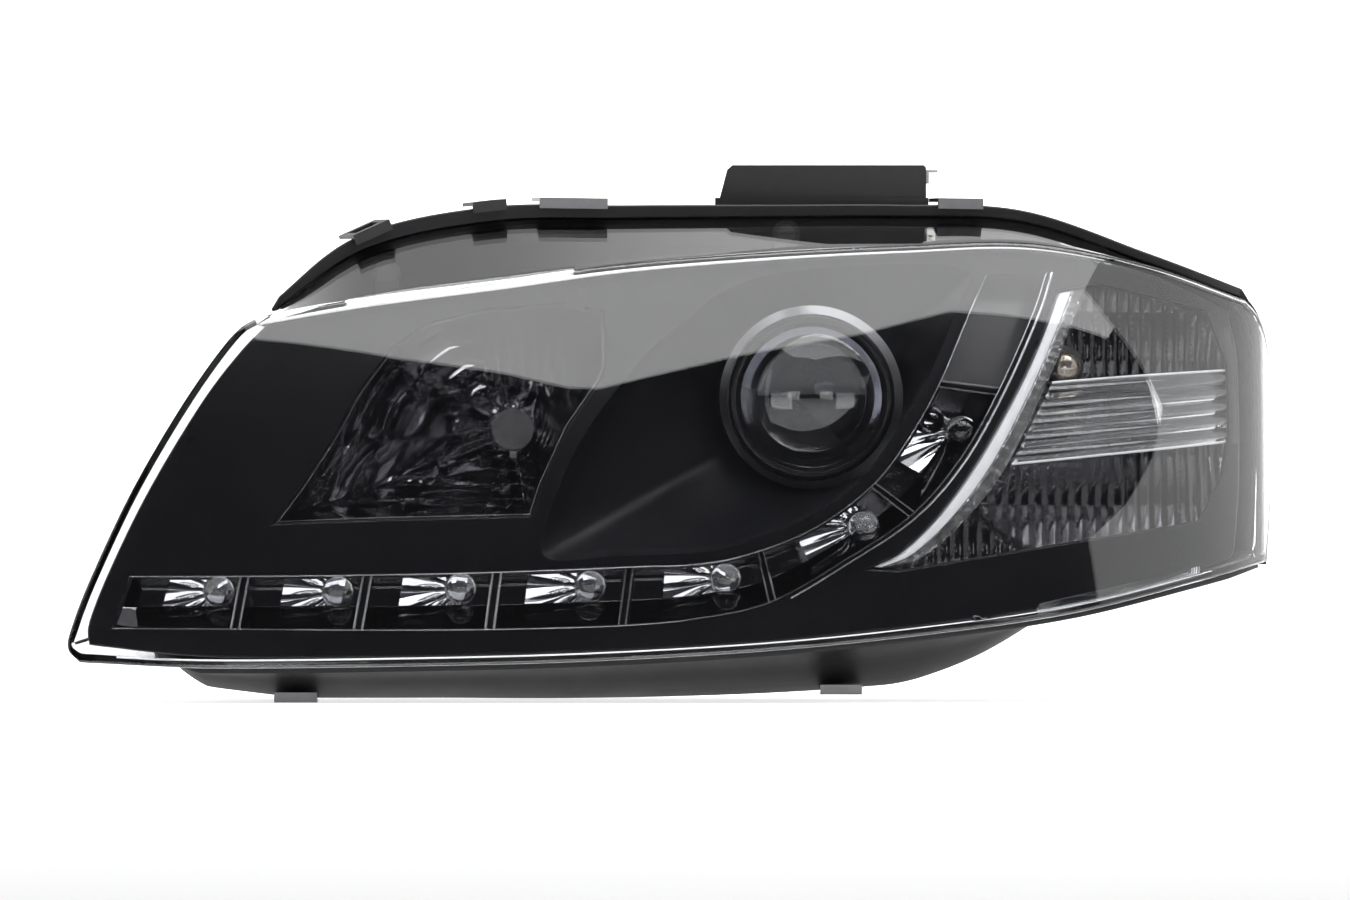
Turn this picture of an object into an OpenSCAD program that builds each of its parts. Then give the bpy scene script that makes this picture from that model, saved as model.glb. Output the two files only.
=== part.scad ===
// Car headlight assembly, left-hand side: halogen projector low beam, reflector high beam,
// daytime running strip and indicator, in one sealed lamp with a three-point aiming frame.
// Lamp directions: +X towards the fender, +Y towards the rear of the car, +Z up.

/* [Lens] */
// How far the lens wraps back at its fender end
wrap_depth = 165; // [160:1:170]
// Thickness of the clear lens
lens_wall = 3; // [2.6:0.1:3.2]
// Columns of facets across the lens
lens_cols = 40; // [32:4:44]
// Rows of facets up the lens
lens_rows = 10; // [8:2:12]

/* [Housing] */
// Distance from the lens crown back to the rear wall's outer face
rear_y = 240; // [238:1:244]
// Thickness of the housing walls
wall = 3; // [2.6:0.1:3.2]
// Thickness of the visible rim round the lens
rim_t = 3.2; // [3:0.1:3.4]

/* [Bezel] */
// Depth of the bezel's face behind the lens surface
bezel_depth = 9; // [8.6:0.1:9.4]
// Thickness of the bezel
bezel_t = 2.5; // [2:0.1:2.6]
// Depth of the running-light tray's floor behind the lens surface
tray_depth = 22; // [20:0.5:24]

/* [Projector] */
// Diameter of the projector lens
projector_d = 63.5; // [60:0.5:64]
// Front edge of the projector's lens ring
ring_y = 92; // [91:0.5:93]
// Radius of the bowl's hole round the projector
bowl_hole_r = 39.5; // [39:0.1:40.5]

/* [Aiming] */
// Radius of the fixed pivot ball
pivot_ball_r = 6; // [5.6:0.1:6.2]
// Radius of the two adjuster balls
link_ball_r = 5; // [4.8:0.1:5.1]
// Clearance round each ball
ball_gap = 0.35; // [0.3:0.05:0.4]
// Radius of the adjuster rods
rod_r = 4; // [3.6:0.1:4]
// Running clearance of the rods and knobs
run_gap = 0.05; // [0.03:0.01:0.08]

/* [Service caps] */
// Radius of the low-beam access hole
low_hole_r = 40; // [38:1:42]
// Radius of the high-beam access hole
high_hole_r = 33; // [31:1:34]

/* [Mounts] */
// Radius of the mounting bolt holes
bolt_r = 3.3; // [3:0.1:3.5]
// Height of the upper mounting bracket's top above the lamp's lowest point
bracket_top = 232; // [230:1:234]

/* [Hidden] */
$fn = 64;

// Places, as [x, z] seen from the front, and depths along y
projector_at = [58.5, 130.7];
high_bulb_at = [-70, 117];
pivot_at = [0, 131];
level_at = [0, 42];
side_at = [-131, 127];
pivot_y = 160;
knob_at = [34, 42];
indicator_at = [167, 143.6];
connector_at = [-112, 48];
driver_at = [134, 98];
breathers_at = [[124, 172], [-108, 150]];
upper_bolt = [64, 180];
inner_bolt = [-203, 62];
outer_bolt = [222, 100];
bracket_base = 214.8;
lamp_datum = [upper_bolt[0], upper_bolt[1], (bracket_top + bracket_base) / 2];
skin_gap = 0.3;

// ---------- Curves and surfaces ----------

function mix(a, b, t) = a * (1 - t) + b * t;
function last(v) = v[len(v) - 1];
function unit(v) = v / norm(v);

// Smooth curve through the points p, with u from 0 to 1
function spline(p, u) = let (
    n = len(p) - 1,
    i = min(n - 1, floor(u * n)),
    f = u * n - i,
    b = p[i],
    c = p[i + 1],
    a = i > 0 ? p[i - 1] : 2 * b - c,
    d = i < n - 1 ? p[i + 2] : 2 * c - b)
    (2 * b + (c - a) * f + (2 * a - 5 * b + 4 * c - d) * f * f + (3 * b - a - 3 * c + d) * f * f * f) / 2;

// The same for a closed outline
function closed_spline(p, u) = let (
    n = len(p),
    i = floor(u * n) % n,
    f = u * n - floor(u * n),
    a = p[(i + n - 1) % n],
    b = p[i],
    c = p[(i + 1) % n],
    d = p[(i + 2) % n])
    (2 * b + (c - a) * f + (2 * a - 5 * b + 4 * c - d) * f * f + (3 * b - a - 3 * c + d) * f * f * f) / 2;

// Patch stretched between four edge curves, s along the lamp and t up it
function patch(bottom, top, left, right, s, t) =
    (1 - t) * spline(bottom, s) + t * spline(top, s) + (1 - s) * spline(left, t) + s * spline(right, t)
    - (1 - s) * (1 - t) * bottom[0] - s * (1 - t) * last(bottom)
    - (1 - s) * t * top[0] - s * t * last(top);

// The lens surface: its depth grows towards both ends and upwards
crown_x = -120;
sill_z = 16;
inner_sweep = 20;
wrap_run = 380;
function sweep(x) = x < crown_x ? inner_sweep * pow((crown_x - x) / 140, 2)
    : wrap_depth * (1 - pow(1 - pow((x - crown_x) / wrap_run, 2.2), 1 / 1.8));
function rake(z) = let (h = z - sill_z) 0.15 * h + 0.0012 * h * h;
function face_y(x, z) = sweep(x) + rake(z);
function slope_x(x) = (sweep(x) - sweep(x - 0.5)) / 0.5;
function slope_z(z) = (rake(z + 0.5) - rake(z)) / 0.5;
function slant(x, z) = norm([slope_x(x), 1, slope_z(z)]);
function inward(x, z) = [-slope_x(x), 1, -slope_z(z)] / slant(x, z);

// The place at [x, z] that lies d behind the lens surface
function behind(p, d) = [p[0], face_y(p[0], p[1]) + d * slant(p[0], p[1]), p[1]];

// ---------- Solids from rows of points ----------

// Triangles between two rows of point numbers
function strip(a, b, closed = false) = [for (k = [0:len(a) - (closed ? 1 : 2)]) let (n = (k + 1) % len(a))
    each [[a[k], a[n], b[n]], [a[k], b[n], b[k]]]];

// Number of the grid point at place k round the edge of a grid of c by r cells
function edge_ij(k, c, r) = k < c ? [k, 0] : k < c + r ? [c, k - c]
    : k < 2 * c + r ? [2 * c + r - k, r] : [0, 2 * (c + r) - k];

// Solid between a front and a back grid of points, both listed column by column
module slab(front, back) {
    c = len(front) - 1;
    r = len(front[0]) - 1;
    base = (c + 1) * (r + 1);
    rim = [for (k = [0:2 * (c + r) - 1]) let (ij = edge_ij(k, c, r)) ij[0] * (r + 1) + ij[1]];
    faces = [for (i = [0:c - 1], j = [0:r - 1]) let (a = i * (r + 1) + j, b = a + r + 1)
        each [[a, a + 1, b + 1], [a, b + 1, b], [base + a, base + b + 1, base + a + 1],
            [base + a, base + b, base + b + 1]]];
    polyhedron([for (col = front) each col, for (col = back) each col],
        concat(faces, strip(rim, [for (k = rim) k + base], closed = true)));
}

// Solid ring through closed loops of points, where the last loop meets the first
module loft(loops) {
    n = len(loops[0]);
    rows = [for (i = [0:len(loops) - 1]) [for (k = [0:n - 1]) i * n + k]];
    polyhedron([for (loop = loops) each loop],
        [for (i = [0:len(loops) - 1]) each strip(rows[i], rows[(i + 1) % len(loops)], closed = true)]);
}

// A flat outline in x and z made solid from y0 to y1
module along_y(y0, y1) {
    translate([0, y1, 0]) rotate([90, 0, 0]) linear_extrude(y1 - y0) children();
}

// Round bar along y at [x, z], from y0 to y1
module bar(at, y0, y1, r, r2 = 0) {
    translate([at[0], y0, at[1]]) rotate([-90, 0, 0]) cylinder(h = y1 - y0, r1 = r, r2 = r2 == 0 ? r : r2);
}

// Turned piece about the y axis through [x, z]: its outline is a list of [radius, y]
module turned(at, outline) {
    translate([at[0], 0, at[1]]) rotate([-90, 0, 0]) rotate_extrude() polygon(outline);
}

// Box from one corner to the opposite one
module block(low, high) {
    translate(low) cube(high - low);
}

// Moves the lamp so that its datum is the middle of the upper mounting bolt hole
module on_datum() {
    translate(-lamp_datum) children();
}

// ---------- Outlines, as [x, z] seen from the front ----------

lens_bottom = [[-254.5, 17.2], [-200, 15.2], [-118, 16], [-40, 18], [40, 22.5], [110, 29.5], [170, 38],
    [222, 50.5], [257, 60]];
lens_top = [[-179.5, 165.3], [-130, 173.5], [-75, 180.6], [-20, 188], [40, 193], [97, 196.1], [152, 197.6],
    [203, 188.6], [248, 173.5]];
lens_left = concat([lens_bottom[0]], [[-259.8, 23.5], [-257.8, 34], [-249.6, 55], [-232.2, 92], [-210, 130],
    [-190.6, 157]], [lens_top[0]]);
lens_right = concat([last(lens_bottom)], [[259.2, 90], [259.8, 122], [258.5, 152], [254, 166.5]],
    [last(lens_top)]);

// Rear edge of the top skirt: [x, z, distance behind the crease]
rim_top = [[-172, 168, 34], [-135, 197, 50], [-80, 209.5, 62], [-22, 210.3, 66], [40, 210.6, 66],
    [97, 210.8, 62], [150, 208.5, 50], [203, 190.5, 26], [246, 174.5, 13]];

bezel_bottom = [[-249.5, 25.5], [-196, 20.6], [-118, 20.9], [-40, 22.8], [40, 27.3], [110, 34.4], [165, 42],
    [208, 51.5], [240, 62]];
bezel_top = [[-173.5, 162], [-127, 170.4], [-75, 178], [-20, 185.5], [40, 190.3], [97, 193], [150, 193.5],
    [200, 184.5], [238, 168.5]];
bezel_left = concat([bezel_bottom[0]], [[-249.5, 34], [-241, 56], [-224.5, 90], [-202.5, 127], [-186, 149]],
    [bezel_top[0]]);
bezel_right = concat([last(bezel_bottom)], [[242.5, 90], [243, 120], [242, 150]], [last(bezel_top)]);

high_opening = [[-173, 75.7], [-160, 93], [-147, 113], [-135.9, 133.5], [-121.7, 152.4], [-106, 163],
    [-80, 169], [-48, 171.5], [-30, 168], [-29, 146], [-31, 138], [-45, 118], [-56.5, 93], [-61, 79],
    [-128, 77.5]];
high_rim = [[-177, 73], [-163, 92], [-150, 112], [-139, 133], [-125, 154], [-108, 165.5], [-80, 172],
    [-48, 174], [-32, 170], [-31.5, 143], [-35, 136.5], [-47.5, 118], [-59, 94], [-63.5, 76.5], [-128, 74]];
bowl_rim = [[-56, 63], [-50, 91], [-38.5, 115], [-24.5, 134.5], [-9, 152.5], [7, 165.5], [21, 176],
    [45, 184], [85, 187.3], [124, 186], [122, 171], [108, 138.5], [92.5, 113], [78, 94.5], [58.5, 80.5],
    [35, 70.3], [11.2, 64.6], [-25, 63]];

// The running-light strip: pairs of points on its inner and its outer border
strip_in = [[-233, 54.6], [-183.6, 54.8], [-131.2, 55.4], [-76, 56.6], [-19.4, 58.8], [12, 60.2],
    [36.3, 65.6], [61, 76.1], [84.3, 93.5], [99.5, 113.5], [112.7, 136.5], [126.9, 169.4], [133.3, 183.2]];
strip_out = [[-240.8, 31.2], [-187.9, 31], [-135.5, 30.7], [-79.3, 30.9], [-22.8, 32.5], [13, 36],
    [41.5, 42.8], [73, 60.5], [101.9, 80], [122.5, 103.5], [139.5, 133], [154.5, 166], [160.8, 184.5]];
leds_at = [[-194.8, 47.9], [-144, 47.9], [-91.6, 49.2], [-36.3, 50.3], [21.4, 53.3], [80.4, 75.7],
    [122.7, 115.8]];
dividers_at = [1, 2, 3, 4, 6, 8, 10] / 12;

// The light guide: pairs of points on its left and its right edge
guide_left = [[165, 175.5], [158.5, 158], [148.5, 136], [131, 104.7], [113.5, 80.5], [97, 64.5], [84, 58]];
guide_right = [[177, 177.5], [169, 158], [159.5, 136], [142, 101], [125, 79], [107, 63], [93, 57.8]];
indicator_opening = [[164, 177.5], [157.5, 158], [147, 136], [129.5, 105], [112, 80.5], [95.5, 64.5],
    [80, 56.5], [95, 55.5], [160, 66], [226, 76.5], [236, 95], [239.5, 115], [239, 145], [230, 168.5],
    [205, 175], [181, 180.5]];

function across(u, w) = mix(spline(strip_in, u), spline(strip_out, u), w);
// Points round a closed outline, anticlockwise seen from the front
function outline_points(p, n) = [for (k = [0:n - 1]) closed_spline(p, 1 - k / n)];

// ---------- The lens, its seal and the housing share one flange loop ----------

flange_n = 2 * (lens_cols + lens_rows);
flange_set = 13;

function lens_s(i) = 1 - pow(1 - i / lens_cols, 1.2);
function lens_xz(i, j) = patch(lens_bottom, lens_top, lens_left, lens_right, lens_s(i), j / lens_rows);
function lens_face(i, j) = let (p = lens_xz(i, j)) [p[0], face_y(p[0], p[1]), p[1]];
function lens_edge(k) = let (ij = edge_ij(k, lens_cols, lens_rows)) lens_face(ij[0], ij[1]);

// Where the lens ends at place k: the sill, the fender end, the skirt's rear edge and the inner end
function flange(k) = let (
    ij = edge_ij(k, lens_cols, lens_rows),
    p = lens_edge(k),
    s = lens_s(ij[0]),
    t = ij[1] / lens_rows,
    r = spline(rim_top, s))
    k < lens_cols ? p + [lookup(s, [[0, 13], [0.12, 0], [0.93, 0], [1, -4]]),
        lookup(s, [[0, 40], [0.3, 32], [0.75, 32], [1, flange_set]]),
        lookup(s, [[0, 11], [0.06, 8], [0.12, 1.5]])]
    : k < lens_cols + lens_rows ? p + [-4, flange_set, 0]
    : k < 2 * lens_cols + lens_rows ? [r[0], p[1] + r[2], r[1]]
    : p + [13, mix(40, 34, t), 11 * max(0, 1 - 4 * t)];

edge_loop = [for (k = [0:flange_n - 1]) lens_edge(k)];
flange_loop = [for (k = [0:flange_n - 1]) flange(k)];
flange_run = [for (k = [0:flange_n - 1])
    flange_loop[(k + 1) % flange_n] - flange_loop[(k + flange_n - 1) % flange_n]];
flange_out = [for (d = flange_run) unit([d[2], 0, -d[0]])];
skirt = [for (k = [0:flange_n - 1]) flange_loop[k] - edge_loop[k]];
skirt_in = [for (k = [0:flange_n - 1]) unit(cross(flange_run[k], skirt[k]))];

// A loop that stands off the flange by d, at a depth dy behind it
function off_flange(d, dy) = [for (k = [0:flange_n - 1]) flange_loop[k] + d * flange_out[k] + [0, dy, 0]];

// A loop dy in front of the flange and d outside the skirt
function off_skirt(d, dy) = [for (k = [0:flange_n - 1])
    flange_loop[k] + d * flange_out[k] + skirt[k] * dy / skirt[k][1]];

// The lens's inner rear edge, level with its outer one
lens_foot = [for (k = [0:flange_n - 1]) let (v = lens_wall * skirt_in[k])
    flange_loop[k] + v - skirt[k] * v[1] / skirt[k][1]];

// The inside of the lens at grid place i, j: a mitre along the crease, the wall thickness elsewhere
function edge_k(i, j) = j == 0 ? i : i == lens_cols ? lens_cols + j
    : j == lens_rows ? 2 * lens_cols + lens_rows - i : i == 0 ? (flange_n - j) % flange_n : -1;
function lens_inside(i, j) = let (
    p = lens_face(i, j),
    n = inward(p[0], p[2]),
    k = edge_k(i, j))
    p + lens_wall * (k < 0 ? n : (n + skirt_in[k]) / (1 + n * skirt_in[k]));

module outer_lens() {
    c = lens_cols;
    r = lens_rows;
    patch_n = (c + 1) * (r + 1);
    base = patch_n + 2 * flange_n;
    outer = [for (i = [0:c], j = [0:r]) lens_face(i, j)];
    inner = [for (i = [0:c], j = [0:r]) lens_inside(i, j)];
    middle = [for (k = [0:flange_n - 1]) mix(edge_loop[k], flange_loop[k], 0.5)];
    function thinned(loop) = [for (k = [0:flange_n - 1]) loop[k] + lens_wall * skirt_in[k]];
    rows = [[for (k = [0:flange_n - 1]) let (ij = edge_ij(k, c, r)) ij[0] * (r + 1) + ij[1]],
        [for (k = [0:flange_n - 1]) patch_n + k],
        [for (k = [0:flange_n - 1]) patch_n + flange_n + k]];
    function back(row) = [for (k = row) k + base];
    faces = concat(
        [for (i = [0:c - 1], j = [0:r - 1]) let (a = i * (r + 1) + j, b = a + r + 1)
            each [[a, a + 1, b + 1], [a, b + 1, b], [base + a, base + b + 1, base + a + 1],
                [base + a, base + b, base + b + 1]]],
        strip(rows[0], rows[1], closed = true),
        strip(rows[1], rows[2], closed = true),
        strip(back(rows[1]), back(rows[0]), closed = true),
        strip(back(rows[2]), back(rows[1]), closed = true),
        strip(rows[2], back(rows[2]), closed = true));
    color([0.9, 0.93, 0.95, 0.4]) on_datum()
        polyhedron(concat(outer, middle, flange_loop, inner, thinned(middle), lens_foot), faces);
}

seal_t = 3;
seal_front = 0.8;
module lens_seal() {
    color([0.12, 0.12, 0.12]) on_datum()
        loft([off_flange(-0.5, seal_front), off_flange(-0.5, seal_t), off_flange(-2.6, seal_t),
            off_flange(-2.6, seal_front)]);
}

// How the housing narrows from the flange to the rear wall, and how its belly hangs, by depth fraction
narrowing = [[0, 0], [0.2, 0.02], [0.45, 0.1], [0.7, 0.35], [0.88, 0.7], [1, 1]];
belly_shape = [[0, 0], [0.08, 0.6], [0.2, 1], [0.5, 1], [0.75, 0.7], [0.9, 0.3], [1, 0]];
belly_drop = [[-226, 0], [-208, 10], [-165, 15.5], [-97, 16.5], [64, 21.5], [100, 22.5], [125, 17],
    [143, 10], [160, 1], [175, 0]];

function rear_xz(p) = [mix(8, p[0], 0.78), mix(112, p[2], p[2] < 112 ? 0.95 : 0.82)];
function shell_loop(v, inset, back_y) = [for (k = [0:flange_n - 1]) let (
    p = flange_loop[k],
    q = rear_xz(p),
    e = lookup(v, narrowing),
    drop = k <= lens_cols ? lookup(p[0], belly_drop) * lookup(v, belly_shape) : 0)
    [mix(p[0], q[0], e), mix(p[1] + 8, back_y, v), mix(p[2], q[1], e) - drop] - inset * flange_out[k]];

lip_front = -6;
lip_gap = 0.7;
ledge_y = seal_t + 1;
rear_in = rear_y - wall;
rear_round = 2;
// The shell ends in a window, closed from behind by a flat panel with all the openings
shell_back = rear_in - 0.1;
shell_in = shell_back - wall;
rear_panel = [[-186, 29.5], [-60, 30], [40, 36], [120, 48], [190, 68], [190, 160], [150, 174],
    [110, 185], [60, 188], [-60, 187.5], [-101, 177], [-135, 143], [-165, 95]];
stop_r = 3;
screw_r = 2;
plate_t = 4;
driver_lug_t = 2.5;
motor_flange_t = 3;
// Screws in the rear wall, each [x, z, thickness of what it holds]
screws_at = concat([for (z = [-12, 12]) [-154, inner_bolt[1] + z, plate_t]],
    [for (z = [-12, 12]) [178, outer_bolt[1] + z, plate_t]],
    [for (z = [-17.5, 17.5]) [driver_at[0], driver_at[1] + z, driver_lug_t]],
    [for (x = [-22, 22]) [level_at[0] + x, level_at[1] + 32, motor_flange_t]]);

module bayonet_slots(at, r) {
    for (a = [35:120:275]) translate([at[0], 0, at[1]]) rotate([0, a, 0])
        block([r - 2, rear_in - 1, -5], [r + stop_r + 0.6, rear_y + 1, 5]);
}

module rear_openings() {
    bar(projector_at, rear_in - 1, rear_y + 1, low_hole_r);
    bar(high_bulb_at, rear_in - 1, rear_y + 1, high_hole_r);
    bar(level_at, rear_in - 1, rear_y + 1, rod_r + 2);
    bar(side_at, rear_in - 1, rear_y + 1, rod_r + 2);
    bar(indicator_at, rear_in - 1, rear_y + 1, holder_r + 0.4);
    for (at = breathers_at) bar(at, rear_in - 1, rear_y + 1, breather_r);
    for (at = screws_at) bar(at, rear_in - 1, rear_y + 1, screw_r + 0.2);
    block([connector_at[0] - 15, rear_in - 1, connector_at[1] - 5],
        [connector_at[0] + 15, rear_y + 1, connector_at[1] + 5]);
    bayonet_slots(projector_at, low_hole_r);
    bayonet_slots(high_bulb_at, high_hole_r);
}

// The window in the shell's rear end
function window_loop(y) = [for (p = shell_loop(1, rear_round + wall, y))
    [mix(8, p[0], 0.96), y, mix(112, p[2], 0.96)]];

module housing() {
    color([0.05, 0.05, 0.055]) on_datum()
        loft([shell_loop(1, rear_round + wall, shell_in), shell_loop(0.88, wall, shell_in),
            shell_loop(0.7, wall, shell_in), shell_loop(0.45, wall, shell_in),
            shell_loop(0.2, wall, shell_in), off_flange(-3.6, ledge_y + 3), off_flange(-3.6, ledge_y),
            off_flange(lip_gap, ledge_y), off_flange(lip_gap, 0), off_skirt(lip_gap, lip_front),
            off_flange(lip_gap + rim_t, lip_front), off_flange(lip_gap + rim_t, 6),
            shell_loop(0.08, 0, shell_back), shell_loop(0.2, 0, shell_back),
            shell_loop(0.45, 0, shell_back), shell_loop(0.7, 0, shell_back),
            shell_loop(0.88, 0, shell_back), shell_loop(0.98, 0.4, shell_back),
            shell_loop(1, rear_round, shell_back), window_loop(shell_back), window_loop(shell_in)]);
}

module housing_rear_panel() {
    color([0.05, 0.05, 0.055]) on_datum() difference() {
        along_y(rear_in, rear_y) polygon(rear_panel);
        rear_openings();
    }
}

// ---------- Mounts, clips and screws ----------

bush_r = 7;
bracket_y = [162, 198];
bracket_x = [19.4, 109];

module upper_mount_bracket() {
    top = bracket_top;
    color([0.06, 0.06, 0.065]) on_datum() difference() {
        union() {
            along_y(bracket_y[0], bracket_y[1]) polygon([[bracket_x[0], bracket_base + 3],
                [bracket_x[0] + 3.2, top - 2], [bracket_x[0] + 5.5, top], [bracket_x[1] - 1, top],
                [bracket_x[1], top - 1], [bracket_x[1], bracket_base + 3]]);
            block([bracket_x[0] - 2, bracket_y[0] - 2, bracket_base],
                [bracket_x[1] + 1, bracket_y[1] + 2, bracket_base + 3]);
        }
        translate([upper_bolt[0], upper_bolt[1], bracket_base - 1]) cylinder(h = 30, r = bush_r);
        for (x = [bracket_x[0] + 8, bracket_x[1] - 29]) block([x, upper_bolt[1] - 4, bracket_base + 4],
            [x + 21, bracket_y[1] + 1, top - 3]);
    }
}

module upper_mount_bush() {
    color([0.7, 0.7, 0.7]) on_datum() translate([upper_bolt[0], upper_bolt[1], bracket_base])
        difference() {
            cylinder(h = bracket_top - bracket_base, r = bush_r);
            translate([0, 0, -1]) cylinder(h = 40, r = bolt_r);
        }
}

module bracket_speed_nut() {
    x = bracket_x[1] + 0.1;
    color([0.75, 0.75, 0.75]) on_datum() difference() {
        union() {
            block([x, 168, bracket_top - 8], [x + 1.2, 182, bracket_top - 2]);
            block([x, 168, bracket_top - 3.2], [x + 5, 182, bracket_top - 2]);
        }
        translate([x + 2.9, 175, bracket_top - 5]) cylinder(h = 5, r = 1.4);
    }
}

// Plate bolted to the rear wall, with a round end for its bush
module mount_plate(from_x, bolt) {
    low = min(from_x, bolt[0]);
    high = max(from_x, bolt[0]);
    difference() {
        union() {
            block([low, rear_y + skin_gap, bolt[1] - 18], [high, rear_y + skin_gap + plate_t, bolt[1] + 18]);
            bar(bolt, rear_y + skin_gap, rear_y + 12.3, bush_r + 5);
        }
        bar(bolt, rear_y, rear_y + 13, bush_r);
        for (at = screws_at) bar(at, rear_y, rear_y + 13, screw_r + 0.2);
    }
}

module inner_mount_bracket() {
    color([0.07, 0.07, 0.075]) on_datum() mount_plate(-145, inner_bolt);
}

module outer_mount_bracket() {
    color([0.07, 0.07, 0.075]) on_datum() mount_plate(169, outer_bolt);
}

module mount_bushes() {
    color([0.7, 0.7, 0.7]) on_datum() for (at = [inner_bolt, outer_bolt]) difference() {
        bar(at, rear_y + skin_gap, rear_y + 12.3, bush_r);
        bar(at, rear_y, rear_y + 13, bolt_r);
    }
}

// Pan-head screws driven from behind
module housing_screws() {
    color([0.55, 0.55, 0.57]) on_datum() for (at = screws_at) {
        seat = rear_y + skin_gap + at[2] + 0.1;
        difference() {
            union() {
                bar(at, rear_y - 8, seat, screw_r);
                bar(at, seat, seat + 2.6, 4);
            }
            bar(at, seat + 1.1, seat + 3, 1.6);
        }
    }
}

// Spring clip over the rim at x, along it: a top plate and a front hook, w wide
module rim_clip(x, w, back) {
    a = rim_place(x - w / 2);
    b = rim_place(x + w / 2);
    run = b - a;
    translate(rim_place(x) + [0, back, 0.8])
            rotate([0, -atan2(run[2], norm([run[0], run[1]])), atan2(run[1], run[0])]) {
        difference() {
            block([-w / 2, -9, 0.4], [w / 2, 10, 2]);
            block([-w / 2 + 3, -5, 0], [w / 2 - 3, 6, 3]);
        }
        block([-w / 2, -9, -2.6], [w / 2, -7.6, 2]);
    }
}

// Place on the outside of the rim above x, as [x, y, z]
function rim_place(x) = let (s = lookup(x, [for (i = [0:8]) [rim_top[i][0], i / 8]]),
    r = spline(rim_top, s), c = spline(lens_top, s))
    [r[0], face_y(c[0], c[1]) + r[2], r[1] + lip_gap + rim_t];

// Clip under the belly: a plate with an upturned front edge, given as [x, y, z, width]
module belly_clip(c) {
    block([c[0] - c[3] / 2, c[1], c[2]], [c[0] + c[3] / 2, c[1] + 28, c[2] + 1.1]);
    block([c[0] - c[3] / 2, c[1], c[2]], [c[0] + c[3] / 2, c[1] + 1.2, c[2] + 4.3]);
}

module rim_clips() {
    color([0.8, 0.8, 0.8]) on_datum() {
        rim_clip(-45, 30, 0.7);
        rim_clip(121.8, 20, 0.7);
        for (c = [[-162.8, 60, 0, 18.5], [71.4, 72, 3.2, 18]]) belly_clip(c);
    }
}

module rim_tabs() {
    color([0.08, 0.08, 0.08]) on_datum() {
        rim_clip(-133, 18, 1.2);
        rim_clip(-82, 15, 1.2);
    }
}

// ---------- Bezel and bowl ----------

module inner_bezel() {
    c = 32;
    r = 8;
    function at(i, j) = patch(bezel_bottom, bezel_top, bezel_left, bezel_right, i / c, j / r);
    strip_n = 60;
    color([0.03, 0.03, 0.035]) on_datum() difference() {
        slab([for (i = [0:c]) [for (j = [0:r]) behind(at(i, j), bezel_depth)]],
            [for (i = [0:c]) [for (j = [0:r]) behind(at(i, j), bezel_depth + bezel_t)]]);
        along_y(0, 220) polygon(high_opening);
        along_y(0, 220) polygon(outline_points(bowl_rim, 40));
        along_y(0, 220) polygon(concat([for (i = [0:strip_n]) across(i / strip_n, 0)],
            [for (i = [strip_n:-1:0]) across(i / strip_n, 1)]));
        along_y(0, 220) polygon(indicator_opening);
    }
}

// Eyelets above the bezel, behind the skirt: [x, y, z, how far down each bracket reaches]
eyelets_at = [[-123.8, 92, 182.5, 15.7], [48.2, 143, 199.7, 12.5]];
module bezel_brackets() {
    color([0.1, 0.1, 0.1]) on_datum() for (e = eyelets_at) {
        foot = e[3];
        front = behind([e[0] + 5, e[2] - foot + 2.5], bezel_depth + bezel_t)[1] + 1;
        difference() {
            union() {
                bar([e[0], e[2]], e[1], e[1] + 3, 6);
                block([e[0] - 5, e[1], e[2] - foot], [e[0] + 5, e[1] + 3, e[2]]);
                block([e[0] - 5, front, e[2] - foot], [e[0] + 5, e[1], e[2] - foot + 2.5]);
            }
            bar([e[0], e[2]], e[1] - 1, e[1] + 4, 2.3);
        }
    }
}

module bezel_screws() {
    color([0.6, 0.6, 0.6]) on_datum() for (e = eyelets_at) difference() {
        union() {
            bar([e[0], e[2]], e[1] - 2.5, e[1] - 0.1, 4);
            bar([e[0], e[2]], e[1] - 0.1, e[1] + 10, 2);
        }
        bar([e[0], e[2]], e[1] - 3, e[1] - 1.2, 1.5);
    }
}

bowl_y = 102;
module projector_bowl() {
    n = 44;
    rim = outline_points(bowl_rim, n);
    function to_hole(p, r, y) = let (d = p - projector_at) [projector_at[0] + r * d[0] / norm(d), y,
        projector_at[1] + r * d[1] / norm(d)];
    function grown(p, g) = p + g * unit(p - projector_at);
    function row(t, g, d, dy) = [for (p = rim) let (a = behind(grown(p, g), d),
        b = to_hole(p, bowl_hole_r + g, bowl_y + dy), m = mix(a, b, t))
        [m[0], mix(a[1], b[1], pow(t, 0.8)), m[2]]];
    front = bezel_depth + bezel_t + 0.5;
    color([0.02, 0.02, 0.025]) on_datum() loft([row(1, 0, front, 0), row(0.7, 0, front, 0),
        row(0.35, 0, front, 0), row(0, 0, front, 0), row(0, 1.2, front + 2, 0), row(0.35, 1.2, front + 2, 2),
        row(0.7, 1.2, front + 2, 2), row(1, 1.2, front + 2, 2)]);
}

// ---------- Daytime running strip ----------

// Bar of four-sided section along the strip, between the given parts of its width and depth
module strip_bar(w0, w1, d0, d1, u0 = 0, u1 = 1, n = 48) {
    function side(d) = [for (i = [0:n]) let (u = mix(u0, u1, i / n))
        [for (w = [w1, w0]) behind(across(u, w), d)]];
    slab(side(d0), side(d1));
}

module drl_reflector() {
    n = 48;
    d0 = bezel_depth + bezel_t + 0.6;
    function section(u, pairs) = [for (p = pairs) behind(across(u, p[0]), p[1])];
    color([0.5, 0.5, 0.52]) on_datum() slab(
        [for (i = [0:n]) section(i / n, [[0.985, d0], [0.975, tray_depth], [0.025, tray_depth],
            [0.015, d0]])],
        [for (i = [0:n]) section(i / n, [[1.04, d0], [1.03, tray_depth + 2], [-0.03, tray_depth + 2],
            [-0.04, d0]])]);
}

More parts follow.
